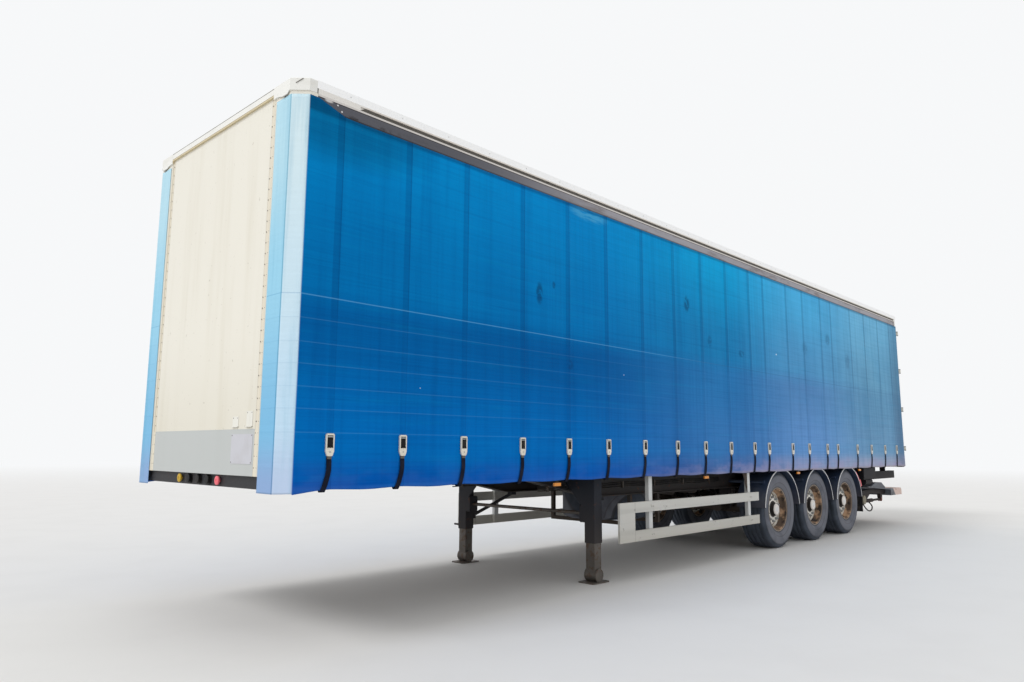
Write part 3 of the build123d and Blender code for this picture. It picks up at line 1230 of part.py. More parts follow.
# Landing legs: the fixed outer legs with their brackets, gear boxes, braces and the crank
with BuildPart() as landing_legs:
    leg_inner_face = LEG_Y - LEG_SIZE / 2
    leg_rear = LEG_STATION + LEG_SIZE / 2
    with BuildSketch(plan_plane(LEG_BOTTOM)):
        with Locations((-LEG_STATION, LEG_Y)):
            Rectangle(LEG_SIZE, LEG_SIZE)
            Rectangle(LEG_SIZE - 2 * LEG_WALL, LEG_SIZE - 2 * LEG_WALL, mode=Mode.SUBTRACT)
    extrude(amount=LEG_TOP - LEG_BOTTOM)
    bracket_inner = BEAM_Y + BEAM_WEB / 2
    with BuildSketch(plan_plane(LEG_TOP - 10)):
        with Locations((-LEG_STATION, LEG_Y)):
            Rectangle(LEG_SIZE, LEG_SIZE)
    extrude(amount=10)
    with BuildSketch(section_plane(LEG_STATION - LEG_SIZE / 2)):
        Polygon(
            (-leg_inner_face, LEG_TOP),
            (-bracket_inner, LEG_TOP),
            (-bracket_inner, LEG_TOP - 60),
            (-leg_inner_face, LEG_TOP - LEG_BRACKET_DEPTH),
            align=None,
        )
    extrude(amount=LEG_BRACKET_THICKNESS)
    with BuildSketch(side_plane(leg_inner_face - GEAR_BOX_DEPTH)):
        with Locations((LEG_STATION, GEAR_SHAFT_LEVEL)):
            RectangleRounded(LEG_SIZE, GEAR_BOX_HEIGHT, 25)
    extrude(amount=GEAR_BOX_DEPTH)
    brace_low = Vector(at(leg_rear + BRACE_RADIUS), leg_inner_face + BRACE_RADIUS, BRACE_LEVEL)
    brace_high = Vector(
        at(leg_rear + BRACE_REACH),
        BEAM_Y + BEAM_FLANGE_WIDTH / 2 - BRACE_FOOT / 3,
        BEAM_BOTTOM - BRACE_RADIUS - 2,
    )
    brace_line = brace_high - brace_low
    with BuildSketch(Plane(origin=brace_low, z_dir=brace_line.normalized())):
        Circle(BRACE_RADIUS)
    extrude(amount=brace_line.length)
    with BuildSketch(Plane.XY.offset(BRACE_LEVEL - 2 * BRACE_RADIUS)):
        with Locations((brace_low.X, brace_low.Y)):
            Rectangle(2 * BRACE_RADIUS, 2 * BRACE_RADIUS)
    extrude(amount=4 * BRACE_RADIUS)
    with BuildSketch(Plane.XY.offset(BEAM_BOTTOM - 2 * BRACE_RADIUS)):
        with Locations((brace_high.X, brace_high.Y)):
            Rectangle(BRACE_FOOT, 2 * BRACE_FOOT / 3)
    extrude(amount=2 * BRACE_RADIUS)
    mirror(about=Plane.XZ)
    crank_y = -LEG_Y - LEG_SIZE / 2 - CRANK_STANDOFF
    with BuildSketch(side_plane(crank_y)):
        with Locations((LEG_STATION, GEAR_SHAFT_LEVEL)):
            Circle(CRANK_RADIUS)
    extrude(amount=CRANK_STANDOFF)
    with BuildSketch(side_plane(crank_y - 2 * CRANK_RADIUS)):
        with Locations((LEG_STATION, GEAR_SHAFT_LEVEL - CRANK_LENGTH / 2)):
            SlotCenterToCenter(CRANK_LENGTH, 2 * CRANK_RADIUS + 6, rotation=90)
    extrude(amount=2 * CRANK_RADIUS)
    with BuildSketch(side_plane(crank_y - 2 * CRANK_RADIUS - CRANK_GRIP)):
        with Locations((LEG_STATION, GEAR_SHAFT_LEVEL - CRANK_LENGTH)):
            Circle(CRANK_RADIUS)
    extrude(amount=CRANK_GRIP)
save(landing_legs, "landing_legs")

# Inner legs and feet, run down to the ground
with BuildPart() as landing_feet:
    drum_level = FOOT_PLATE + FOOT_DRUM_RADIUS - 4
    with BuildSketch(plan_plane(0)):
        with Locations((-LEG_STATION, LEG_Y)):
            RectangleRounded(FOOT_LENGTH, FOOT_WIDTH, 30)
    extrude(amount=FOOT_PLATE)
    with BuildSketch(side_plane(LEG_Y - FOOT_DRUM_LENGTH / 2)):
        with Locations((LEG_STATION, drum_level)):
            Circle(FOOT_DRUM_RADIUS)
    extrude(amount=FOOT_DRUM_LENGTH)
    with BuildSketch(plan_plane(drum_level)):
        with Locations((-LEG_STATION, LEG_Y)):
            inner_size = LEG_SIZE - 2 * LEG_WALL - 2 * INNER_LEG_GAP
            Rectangle(inner_size, inner_size)
    extrude(amount=LEG_TOP - INNER_LEG_DROP - drum_level)
    mirror(about=Plane.XZ)
save(landing_feet, "landing_feet")

# Cross-shaft between the two gear boxes
with BuildPart() as landing_shaft:
    shaft_end = LEG_Y - LEG_SIZE / 2 - GEAR_BOX_DEPTH
    with BuildSketch(side_plane(-shaft_end)):
        with Locations((LEG_STATION, GEAR_SHAFT_LEVEL)):
            Circle(GEAR_SHAFT_RADIUS)
    extrude(amount=2 * shaft_end)
save(landing_shaft, "landing_shaft")

# Side guards: two rails and a front plate on posts that hang from the side rail, with a rear gusset
with BuildPart() as side_guards:
    rail_inner = GUARD_RAIL_OUTER_Y - GUARD_RAIL_THICKNESS
    with BuildSketch(side_plane(rail_inner)) as guard_side:
        for low in (GUARD_LOW_BOTTOM, GUARD_HIGH_BOTTOM):
            with Locations(((GUARD_FRONT + GUARD_REAR) / 2, low + GUARD_RAIL_HEIGHT / 2)):
                Rectangle(GUARD_REAR - GUARD_FRONT, GUARD_RAIL_HEIGHT)
        plate_height = GUARD_HIGH_BOTTOM + GUARD_RAIL_HEIGHT - GUARD_LOW_BOTTOM
        with Locations((GUARD_FRONT + GUARD_PLATE_LENGTH / 2, GUARD_LOW_BOTTOM + plate_height / 2)):
            Rectangle(GUARD_PLATE_LENGTH, plate_height)
    extrude(amount=GUARD_RAIL_THICKNESS)
    for station in GUARD_POST_STATIONS:
        with BuildSketch(plan_plane(GUARD_LOW_BOTTOM + 10)):
            with Locations((-station, rail_inner - GUARD_POST_DEPTH / 2)):
                Rectangle(GUARD_POST_LENGTH, GUARD_POST_DEPTH)
        extrude(amount=RAIL_BOTTOM - GUARD_LOW_BOTTOM - 10)
    post_front = GUARD_POST_STATIONS[-1] - GUARD_POST_LENGTH / 2
    with BuildSketch(side_plane(rail_inner - GUSSET_THICKNESS)):
        Polygon(
            (post_front, RAIL_BOTTOM),
            (post_front, RAIL_BOTTOM - GUSSET_DEPTH),
            (post_front - GUSSET_REACH, RAIL_BOTTOM - 20),
            (post_front - GUSSET_REACH, RAIL_BOTTOM),
            align=None,
        )
    extrude(amount=GUSSET_THICKNESS)
    mirror(about=Plane.XZ)
save(side_guards, "side_guards")

# Spare wheel lying in its carrier under the beams
with BuildPart() as spare_wheel:
    spare_axis = Axis((at(SPARE_STATION), 0, 0), (0, 0, 1))
    with BuildSketch(Plane(origin=(at(SPARE_STATION), 0, 0), x_dir=(1, 0, 0), z_dir=(0, -1, 0))):
        tyre_section(SPARE_BOTTOM + TYRE_WIDTH / 2, 0)
    revolve(axis=spare_axis)
    with BuildSketch(Plane(origin=(at(SPARE_STATION), 0, 0), x_dir=(1, 0, 0), z_dir=(0, -1, 0))):
        rim_low = SPARE_BOTTOM + (TYRE_WIDTH - TYRE_BEAD_WIDTH) / 2
        rim_inner = RIM_SEAT_RADIUS - SPARE_DISC_THICKNESS
        Polygon(
            (RIM_SEAT_RADIUS, rim_low),
            (RIM_SEAT_RADIUS, rim_low + TYRE_BEAD_WIDTH),
            (rim_inner, rim_low + TYRE_BEAD_WIDTH),
            (rim_inner, rim_low + SPARE_DISC_DEPTH + SPARE_DISC_THICKNESS),
            (HUB_RADIUS, rim_low + SPARE_DISC_DEPTH + SPARE_DISC_THICKNESS),
            (HUB_RADIUS, rim_low + SPARE_DISC_DEPTH),
            (rim_inner, rim_low + SPARE_DISC_DEPTH),
            (rim_inner, rim_low),
            align=None,
        )
    revolve(axis=spare_axis)
save(spare_wheel, "spare_wheel")

with BuildPart() as spare_carrier:
    hanger_y = BEAM_Y - BEAM_FLANGE_WIDTH / 2 + CARRIER_TUBE
    carrier_level = SPARE_BOTTOM - CARRIER_TUBE
    for hoop_offset in (-CARRIER_HALF_SPAN, CARRIER_HALF_SPAN):
        with BuildSketch(section_plane(SPARE_STATION + hoop_offset - CARRIER_TUBE)):
            Polygon(
                (-hanger_y - CARRIER_TUBE, BEAM_BOTTOM),
                (-hanger_y - CARRIER_TUBE, carrier_level - CARRIER_TUBE),
                (hanger_y + CARRIER_TUBE, carrier_level - CARRIER_TUBE),
                (hanger_y + CARRIER_TUBE, BEAM_BOTTOM),
                (hanger_y - CARRIER_TUBE, BEAM_BOTTOM),
                (hanger_y - CARRIER_TUBE, carrier_level + CARRIER_TUBE),
                (-hanger_y + CARRIER_TUBE, carrier_level + CARRIER_TUBE),
                (-hanger_y + CARRIER_TUBE, BEAM_BOTTOM),
                align=None,
            )
        extrude(amount=2 * CARRIER_TUBE)
save(spare_carrier, "spare_carrier")

# Air tanks between the beams, each hung from a cross-member
with BuildPart() as air_tanks:
    for number in TANK_CROSS_MEMBERS:
        station = CROSS_STATIONS[number]
        with BuildSketch(side_plane(-TANK_HALF_LENGTH)):
            with Locations((station, TANK_LEVEL)):
                Circle(TANK_RADIUS)
        extrude(amount=2 * TANK_HALF_LENGTH)
    chamfer(air_tanks.faces().filter_by(Axis.Y).edges(), TANK_END_BEVEL)
    for number in TANK_CROSS_MEMBERS:
        for side in (1, -1):
            with BuildSketch(section_plane(CROSS_STATIONS[number] - TANK_STRAP / 2)):
                with Locations((side * TANK_HALF_LENGTH * 0.7, (TANK_LEVEL + CROSS_BOTTOM) / 2)):
                    Rectangle(TANK_STRAP, TANK_DROP)
            extrude(amount=TANK_STRAP)
save(air_tanks, "air_tanks")

# Side marker lamps on short brackets under the side rails
with BuildPart() as side_lamps:
    lamp_top = RAIL_BOTTOM - LAMP_DROP
    for station in LAMP_STATIONS:
        with BuildSketch(plan_plane(lamp_top - LAMP_HEIGHT)):
            with Locations((-station, LAMP_OUTER_Y - LAMP_DEPTH / 2)):
                RectangleRounded(LAMP_LENGTH, LAMP_DEPTH, 8)
        extrude(amount=LAMP_HEIGHT)
        with BuildSketch(plan_plane(lamp_top)):
            with Locations((-station, LAMP_OUTER_Y - LAMP_DEPTH / 2)):
                Rectangle(LAMP_STEM_LENGTH, LAMP_STEM_DEPTH)
        extrude(amount=LAMP_DROP)
    mirror(about=Plane.XZ)
save(side_lamps, "side_lamps")

# Rear lamp clusters on the sill
with BuildPart() as rear_lamps:
    for side in (1, -1):
        with BuildSketch(section_plane(FRAME_REAR)):
            with Locations((side * REAR_LAMP_Y, SILL_FITTING_LEVEL)):
                RectangleRounded(REAR_LAMP_WIDTH, REAR_LAMP_HEIGHT, 18)
        extrude(amount=REAR_LAMP_DEPTH)
save(rear_lamps, "rear_lamps")

# Tail lift rails: channels open to the inside, hung from the cross-members
with BuildPart() as lift_rails:
    rail_mid = (LIFT_RAIL_BOTTOM + LIFT_RAIL_TOP) / 2
    with BuildSketch(section_plane(LIFT_RAIL_START)):
        with Locations((-LIFT_RAIL_Y, rail_mid)):
            Rectangle(LIFT_RAIL_WIDTH, LIFT_RAIL_HEIGHT)
        with Locations((-LIFT_RAIL_Y + LIFT_RAIL_WALL, rail_mid)):
            Rectangle(LIFT_RAIL_WIDTH, LIFT_RAIL_HEIGHT - 2 * LIFT_RAIL_WALL, mode=Mode.SUBTRACT)
    extrude(amount=LIFT_RAIL_END - LIFT_RAIL_START)
    for station in CROSS_STATIONS:
        if LIFT_RAIL_START < station < LIFT_RAIL_END:
            with BuildSketch(plan_plane(LIFT_RAIL_TOP)):
                with Locations((-station, LIFT_RAIL_Y)):
                    Rectangle(CROSS_FLANGE, LIFT_RAIL_WIDTH)
            extrude(amount=CROSS_BOTTOM - LIFT_RAIL_TOP)
    mirror(about=Plane.XZ)
save(lift_rails, "lift_rails")

# Tail lift carriage: slide blocks in the rails, drop plates and the round cross tube
with BuildPart() as lift_carriage:
    block_half = LIFT_RAIL_HEIGHT / 2 - LIFT_RAIL_WALL - LIFT_RUN_GAP
    block_outer = LIFT_RAIL_Y + LIFT_RAIL_WIDTH / 2 - LIFT_RAIL_WALL - LIFT_SIDE_GAP
    plate_inner = LIFT_RAIL_Y - LIFT_RAIL_WIDTH / 2 - LIFT_SIDE_GAP - CARRIAGE_PLATE
    block_end = CARRIAGE_START + CARRIAGE_LENGTH
    with BuildSketch(side_plane(plate_inner)):
        with Locations((CARRIAGE_START + CARRIAGE_LENGTH / 2, rail_mid)):
            Rectangle(CARRIAGE_LENGTH, 2 * block_half)
    extrude(amount=block_outer - plate_inner)
    with BuildSketch(side_plane(plate_inner)):
        Polygon(
            (CARRIAGE_START, rail_mid + block_half),
            (block_end, rail_mid + block_half),
            (block_end, rail_mid - block_half),
            (TUBE_STATION + TUBE_RADIUS, rail_mid - block_half - 60),
            (TUBE_STATION + TUBE_RADIUS, TUBE_LEVEL + TUBE_RADIUS / 2),
            (TUBE_STATION + TUBE_RADIUS / 2, TUBE_LEVEL - TUBE_RADIUS),
            (TUBE_STATION - TUBE_RADIUS / 2, TUBE_LEVEL - TUBE_RADIUS),
            (TUBE_STATION - TUBE_RADIUS, TUBE_LEVEL + TUBE_RADIUS / 2),
            align=None,
        )
    extrude(amount=CARRIAGE_PLATE)
    mirror(about=Plane.XZ)
    with BuildSketch(side_plane(-LIFT_TUBE_HALF)):
        with Locations((TUBE_STATION, TUBE_LEVEL)):
            Circle(TUBE_RADIUS)
    extrude(amount=2 * LIFT_TUBE_HALF)
save(lift_carriage, "lift_carriage")

# Tail lift arms, clamped round the cross tube, with their lift cylinders hung below
with BuildPart() as lift_arms:
    knee_station = TUBE_STATION + LIFT_ARM_KNEE
    hub_radius = TUBE_RADIUS + LIFT_HUB_WALL
    root_middle = PLATFORM_ROOT_BOTTOM + PLATFORM_ROOT_HEIGHT / 2
    with BuildSketch(side_plane(LIFT_ARM_Y - LIFT_ARM_WIDTH / 2)):
        Polygon(
            (TUBE_STATION - hub_radius / 2, TUBE_LEVEL + hub_radius),
            (TUBE_STATION + hub_radius, TUBE_LEVEL + hub_radius + 50),
            (knee_station, LIFT_KNEE_LEVEL + LIFT_ARM_HEIGHT / 2),
            (PLATFORM_ROOT_START, root_middle + LIFT_ARM_HEIGHT / 2),
            (PLATFORM_ROOT_START, root_middle - LIFT_ARM_HEIGHT / 2),
            (knee_station, LIFT_KNEE_LEVEL - LIFT_ARM_HEIGHT / 2),
            (TUBE_STATION + 2 * hub_radius, TUBE_LEVEL - hub_radius / 2),
            (TUBE_STATION, TUBE_LEVEL - hub_radius / 2),
            align=None,
        )
        with Locations((TUBE_STATION, TUBE_LEVEL)):
            Circle(hub_radius)
    extrude(amount=LIFT_ARM_WIDTH)
    eye_station = PLATFORM_ROOT_START - LIFT_EYE_AHEAD
    barrel_start = TUBE_STATION + 2 * hub_radius
    barrel_end = (barrel_start + eye_station) / 2
    for part_start, part_end, part_radius in (
        (barrel_start, barrel_end, LIFT_CYLINDER_RADIUS),
        (barrel_end, eye_station, LIFT_ROD_RADIUS),
    ):
        with BuildSketch(section_plane(part_start)):
            with Locations((-LIFT_ARM_Y, LIFT_CYLINDER_LEVEL)):
                Circle(part_radius)
        extrude(amount=part_end - part_start)
    for ear_station in (barrel_start, eye_station):
        with BuildSketch(side_plane(LIFT_ARM_Y - LIFT_ARM_WIDTH / 2)):
            Polygon(
                (ear_station - LIFT_CYLINDER_RADIUS, LIFT_CYLINDER_LEVEL),
                (ear_station + LIFT_CYLINDER_RADIUS, LIFT_CYLINDER_LEVEL),
                (ear_station + 2 * LIFT_CYLINDER_RADIUS, root_middle),
                (ear_station - 2 * LIFT_CYLINDER_RADIUS, root_middle),
                align=None,
            )
            with Locations((ear_station, LIFT_CYLINDER_LEVEL)):
                Circle(LIFT_CYLINDER_RADIUS)
        extrude(amount=LIFT_ARM_WIDTH)
    with BuildSketch(side_plane(LIFT_ARM_Y - LIFT_ARM_WIDTH)):
        with Locations((TUBE_STATION, TUBE_LEVEL)):
            Circle(TUBE_RADIUS + SLOT_GAP)
    extrude(amount=2 * LIFT_ARM_WIDTH, mode=Mode.SUBTRACT)
    mirror(about=Plane.XZ)
save(lift_arms, "lift_arms")

# Tail lift platform: a thin leaf that thickens into the root, and the tip folded over it
platform_root_top = PLATFORM_ROOT_BOTTOM + PLATFORM_ROOT_HEIGHT
leaf_slope = (PLATFORM_TIP_TOP - platform_root_top) / (PLATFORM_ROOT_START - PLATFORM_START)


def leaf_top(station):
    """The level of the platform's top face ahead of its root."""
    return PLATFORM_TIP_TOP - leaf_slope * (station - PLATFORM_START)


with BuildPart() as lift_platform:
    with BuildSketch(side_plane(-PLATFORM_HALF_WIDTH)) as platform_side:
        Polygon(
            (PLATFORM_START, PLATFORM_TIP_TOP),
            (PLATFORM_ROOT_START, platform_root_top),
            (PLATFORM_END - PLATFORM_NOSE, platform_root_top),
            (PLATFORM_END, platform_root_top - PLATFORM_NOSE),
            (PLATFORM_END, PLATFORM_ROOT_BOTTOM),
            (PLATFORM_ROOT_START, PLATFORM_ROOT_BOTTOM),
            (PLATFORM_ROOT_START, platform_root_top - PLATFORM_EDGE),
            (PLATFORM_START, PLATFORM_TIP_TOP - PLATFORM_EDGE),
            align=None,
        )
    extrude(amount=2 * PLATFORM_HALF_WIDTH)
save(lift_platform, "lift_platform")

with BuildPart() as lift_tip:
    tip_half = PLATFORM_HALF_WIDTH - TIP_SETIN
    tip_start = PLATFORM_START + TIP_OFFSET
    tip_end = tip_start + TIP_LENGTH
    tip_top = leaf_top(tip_start) + TIP_HEIGHT
    with BuildSketch(side_plane(-tip_half)):
        Polygon(
            (tip_start, leaf_top(tip_start) + TIP_GAP),
            (tip_start + TIP_LENGTH * 0.3, tip_top),
            (tip_end - TIP_LENGTH * 0.25, tip_top),
            (tip_end, leaf_top(tip_end) + TIP_GAP + TIP_HEIGHT * 0.4),
            (tip_end, leaf_top(tip_end) + TIP_GAP),
            align=None,
        )
    extrude(amount=2 * tip_half)
save(lift_tip, "lift_tip")

# Tail lift power pack: a lidded box hung from the side rail, with its pump motor below
with BuildPart() as lift_power_pack:
    pack_outer = BODY_HALF_WIDTH - PACK_SETBACK
    pack_middle = AXLE_STATIONS[-1] + PACK_OFFSET + PACK_LENGTH / 2
    pack_top = RAIL_BOTTOM - PACK_HEADROOM
    with BuildSketch(side_plane(pack_outer - PACK_DEPTH)):
        with Locations((pack_middle, pack_top - PACK_HEIGHT / 2)):
            RectangleRounded(PACK_LENGTH, PACK_HEIGHT, PACK_CORNER)
    extrude(amount=PACK_DEPTH - PACK_LID)
    with BuildSketch(side_plane(pack_outer - PACK_LID)):
        with Locations((pack_middle, pack_top - PACK_HEIGHT / 2)):
            RectangleRounded(PACK_LENGTH - 2 * PACK_CORNER, PACK_HEIGHT - 2 * PACK_CORNER, PACK_CORNER)
    extrude(amount=PACK_LID)
    with BuildSketch(plan_plane(pack_top - PACK_CORNER)):
        for end in (1, -1):
            bracket_station = pack_middle + end * (PACK_LENGTH / 2 - PACK_BRACKET_LENGTH)
            with Locations((-bracket_station, pack_outer - PACK_LID - PACK_BRACKET_DEPTH / 2)):
                Rectangle(PACK_BRACKET_LENGTH, PACK_BRACKET_DEPTH)
    extrude(amount=RAIL_BOTTOM - pack_top + PACK_CORNER)
    with BuildSketch(section_plane(pack_middle - MOTOR_LENGTH / 2)):
        with Locations((-pack_outer + PACK_DEPTH / 2, pack_top - PACK_HEIGHT - MOTOR_RADIUS * 0.75)):
            Circle(MOTOR_RADIUS)
    extrude(amount=MOTOR_LENGTH)
save(lift_power_pack, "lift_power_pack")
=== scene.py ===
from math import atan2, cos, exp, pi, radians, sin

import bmesh
import bpy
from mathutils import Matrix, Vector, noise


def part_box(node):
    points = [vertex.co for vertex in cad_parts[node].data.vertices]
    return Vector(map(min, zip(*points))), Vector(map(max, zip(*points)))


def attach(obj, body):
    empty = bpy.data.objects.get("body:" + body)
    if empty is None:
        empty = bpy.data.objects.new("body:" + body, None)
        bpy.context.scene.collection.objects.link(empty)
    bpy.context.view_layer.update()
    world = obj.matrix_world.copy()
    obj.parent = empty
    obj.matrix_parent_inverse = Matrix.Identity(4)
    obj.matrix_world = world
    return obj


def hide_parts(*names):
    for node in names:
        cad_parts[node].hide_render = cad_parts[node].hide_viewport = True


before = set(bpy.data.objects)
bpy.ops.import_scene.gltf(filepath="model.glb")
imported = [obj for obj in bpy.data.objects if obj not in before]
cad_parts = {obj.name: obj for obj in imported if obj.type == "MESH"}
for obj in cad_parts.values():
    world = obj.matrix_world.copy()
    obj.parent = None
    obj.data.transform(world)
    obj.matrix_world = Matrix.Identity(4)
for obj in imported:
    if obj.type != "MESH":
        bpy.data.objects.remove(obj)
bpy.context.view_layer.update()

# The looks of a curtain-side semi-trailer. Metres; +X points forward, +Y to the left, z = 0 is the ground.
# A station is the distance back from the front face of the body.

FRONT_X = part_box("curtain_left")[1].x
SIDES = (("left", 1), ("right", -1))


def at(station):
    """The x of a place that many metres behind the front of the body."""
    return FRONT_X - station


def srgb(red, green, blue):
    """A colour as it shows on screen, 0 to 255, in Blender's linear values."""
    return tuple(c / 3294.6 if c < 11 else ((c / 255 + 0.055) / 1.055) ** 2.4 for c in (red, green, blue))


# Camera, at the photograph's place and angle
EYE = Vector((9.4124, 5.8906, 1.3754))
YAW = radians(-136.321)
PITCH = radians(8.261)
ROLL = radians(0.306)

ahead = Vector((cos(PITCH) * cos(YAW), cos(PITCH) * sin(YAW), sin(PITCH)))
level_right = Vector((sin(YAW), -cos(YAW), 0))
level_up = level_right.cross(ahead)
right = cos(ROLL) * level_right + sin(ROLL) * level_up
up = cos(ROLL) * level_up - sin(ROLL) * level_right

camera = bpy.data.objects.new("camera", bpy.data.cameras.new("camera"))
bpy.context.scene.collection.objects.link(camera)
camera.data.sensor_width = 36
camera.data.lens = 26.044
camera.data.clip_start = 0.05
camera.data.clip_end = 2000
camera.matrix_world = Matrix((
    (right.x, up.x, -ahead.x, EYE.x),
    (right.y, up.y, -ahead.y, EYE.y),
    (right.z, up.z, -ahead.z, EYE.z),
    (0, 0, 0, 1),
))
bpy.context.scene.camera = camera


# Surfaces
class Surface:
    """A procedural material built round one Principled shader. Its colour grows layer by layer."""

    def __init__(self, name, colour, roughness=0.5, metallic=0.0):
        self.material = bpy.data.materials.new(name)
        self.material.use_nodes = True
        self.nodes = self.material.node_tree.nodes
        self.links = self.material.node_tree.links
        self.shader = self.nodes["Principled BSDF"]
        self.colour = (*colour, 1)
        self.roughness = roughness
        self.shader.inputs["Metallic"].default_value = metallic
        self.place = self.nodes.new("ShaderNodeTexCoord").outputs["Object"]
        split = self.nodes.new("ShaderNodeSeparateXYZ")
        self.links.new(self.place, split.inputs[0])
        self.x, self.y, self.z = split.outputs
        self.height = None

    def plug(self, value, socket):
        """Links a socket, or sets a plain value."""
        if isinstance(value, bpy.types.NodeSocket):
            self.links.new(value, socket)
        else:
            socket.default_value = value

    def math(self, operation, first, second=0.0, third=0.0):
        """One sum on numbers."""
        node = self.nodes.new("ShaderNodeMath")
        node.operation = operation
        for value, socket in zip((first, second, third), node.inputs):
            self.plug(value, socket)
        return node.outputs[0]

    def span(self, value, start, end, low=0.0, high=1.0):
        """low where value is at start, high where it is at end, smooth between."""
        node = self.nodes.new("ShaderNodeMapRange")
        node.interpolation_type = "SMOOTHSTEP"
        for number, entry in enumerate((value, start, end, low, high)):
            self.plug(entry, node.inputs[number])
        return node.outputs[0]

    def within(self, value, start, end, soft):
        """1 between start and end, fading to 0 over soft on both sides."""
        rising = self.span(value, start - soft, start)
        falling = self.span(value, end, end + soft, 1.0, 0.0)
        return self.math("MULTIPLY", rising, falling)

    def grain(self, scale, detail=3.0, stretch=(1, 1, 1), roughness=0.55):
        """Noise over the surface, finer along an axis with a larger stretch."""
        mapping = self.nodes.new("ShaderNodeMapping")
        self.links.new(self.place, mapping.inputs["Vector"])
        mapping.inputs["Scale"].default_value = stretch
        node = self.nodes.new("ShaderNodeTexNoise")
        self.links.new(mapping.outputs[0], node.inputs["Vector"])
        node.inputs["Scale"].default_value = scale
        node.inputs["Detail"].default_value = detail
        node.inputs["Roughness"].default_value = roughness
        return node.outputs["Fac"]

    def patches(self, scale, share, soft=0.08, detail=5.0, stretch=(1, 1, 1)):
        """A mask that covers about that share of the surface in ragged patches."""
        edge = 0.5 + 0.42 * (0.5 - share)
        return self.span(self.grain(scale, detail, stretch, 0.62), edge - soft / 2, edge + soft / 2)

    def read(self, name):
        """A number stored on the mesh's points."""
        node = self.nodes.new("ShaderNodeAttribute")
        node.attribute_name = name
        return node.outputs["Fac"]

    def scaled(self, mask, amount):
        """A mask made weaker."""
        return self.math("MULTIPLY", mask, amount)

    def blend(self, mask, first, second, kind="MIX"):
        """One colour where the mask is 0, the other, or both in that kind of mix, where it is 1."""
        node = self.nodes.new("ShaderNodeMix")
        node.data_type = "RGBA"
        node.blend_type = kind
        self.plug(mask, node.inputs[0])
        for value, socket in ((first, node.inputs[6]), (second, node.inputs[7])):
            self.plug((*value, 1) if isinstance(value, tuple) and len(value) == 3 else value, socket)
        return node.outputs[2]

    def shades(self, value, stops):
        """A colour that runs smoothly through the stops, which are pairs of a value and a colour."""
        colour = stops[0][1]
        for (start, _), (end, following) in zip(stops, stops[1:]):
            colour = self.blend(self.span(value, start, end), colour, following)
        return colour

    def both(self, first, second):
        """1 where both masks are 1."""
        return self.math("MULTIPLY", first, second)

    def spot(self, station, level, reach, rise):
        """A soft mark on the left side about a station and level, reach long and rise high each way."""
        across = self.math("POWER", self.math("DIVIDE", self.math("SUBTRACT", self.x, at(station)), reach),
                           2.0)
        upward = self.math("POWER", self.math("DIVIDE", self.math("SUBTRACT", self.z, level), rise), 2.0)
        return self.both(self.span(self.math("ADD", across, upward), 1.0, 0.1), self.span(self.y, 0.1, 0.2))

    def clouds(self, start, end, *grain):
        """A mask that is 0 where that grain is at start, and 1 where it is at end."""
        return self.span(self.grain(*grain), start, end)

    def deepen(self, mask, tone, amount=None):
        """Multiplies the colour by a tone where the mask is 1, as much as the amount says."""
        if amount is not None:
            mask = self.scaled(mask, amount)
        self.colour = self.blend(mask, self.colour, tone, "MULTIPLY")

    def layer(self, mask, colour, roughness=None, amount=None):
        """Lays a colour over the surface where the mask is 1, as much as the amount says, with its own roughness."""
        if amount is not None:
            mask = self.scaled(mask, amount)
        self.colour = self.blend(mask, self.colour, colour)
        if roughness is not None:
            node = self.nodes.new("ShaderNodeMix")
            self.plug(mask, node.inputs[0])
            self.plug(self.roughness, node.inputs[2])
            self.plug(roughness, node.inputs[3])
            self.roughness = node.outputs[0]

    def relief(self, height, depth):
        """Raises the surface by depth metres where height is 1, on top of earlier relief."""
        raised = self.math("MULTIPLY", height, depth)
        self.height = raised if self.height is None else self.math("ADD", self.height, raised)

    def done(self, bevel=0.0):
        """Joins the layers to the shader and returns the material. bevel rounds the edges' shading."""
        self.plug(self.colour, self.shader.inputs["Base Color"])
        self.plug(self.roughness, self.shader.inputs["Roughness"])
        normal = None
        if bevel:
            rounding = self.nodes.new("ShaderNodeBevel")
            rounding.samples = 4
            rounding.inputs["Radius"].default_value = bevel
            normal = rounding.outputs[0]
        if self.height is not None:
            bump = self.nodes.new("ShaderNodeBump")
            bump.inputs["Strength"].default_value = 1.0
            bump.inputs["Distance"].default_value = 1.0
            self.links.new(self.height, bump.inputs["Height"])
            if normal is not None:
                self.links.new(normal, bump.inputs["Normal"])
            normal = bump.outputs[0]
        if normal is not None:
            self.links.new(normal, self.shader.inputs["Normal"])
        return self.material


SEAM_LEVEL = 2.455
DUST = srgb(142, 130, 114)
BROWN_DUST = srgb(104, 88, 72)
RUST = srgb(112, 66, 40)

AXLES = [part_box(f"wheel_{number}_left") for number in (1, 2, 3)]
AXLE_X = [(low.x + high.x) / 2 for low, high in AXLES]
AXLE_Z = (AXLES[0][0].z + AXLES[0][1].z) / 2
AXLE_PITCH = AXLE_X[0] - AXLE_X[1]

HOLE_CIRCLE = 0.215
BOW_COUNT = 20
BOW_PITCH = (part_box("roof_bows")[1].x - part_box("roof_bows")[0].x - 0.030) / (BOW_COUNT - 1)


def axle_radius(surface):
    """The distance from the nearest axle's line, for the wheels and tyres that share a material."""
    offset = surface.math("WRAP", surface.math("SUBTRACT", surface.x, AXLE_X[0]), AXLE_PITCH / 2,
                          -AXLE_PITCH / 2)
    rise = surface.math("SUBTRACT", surface.z, AXLE_Z)
    squares = surface.math("ADD", surface.math("POWER", offset, 2.0), surface.math("POWER", rise, 2.0))
    return surface.math("SQRT", squares)


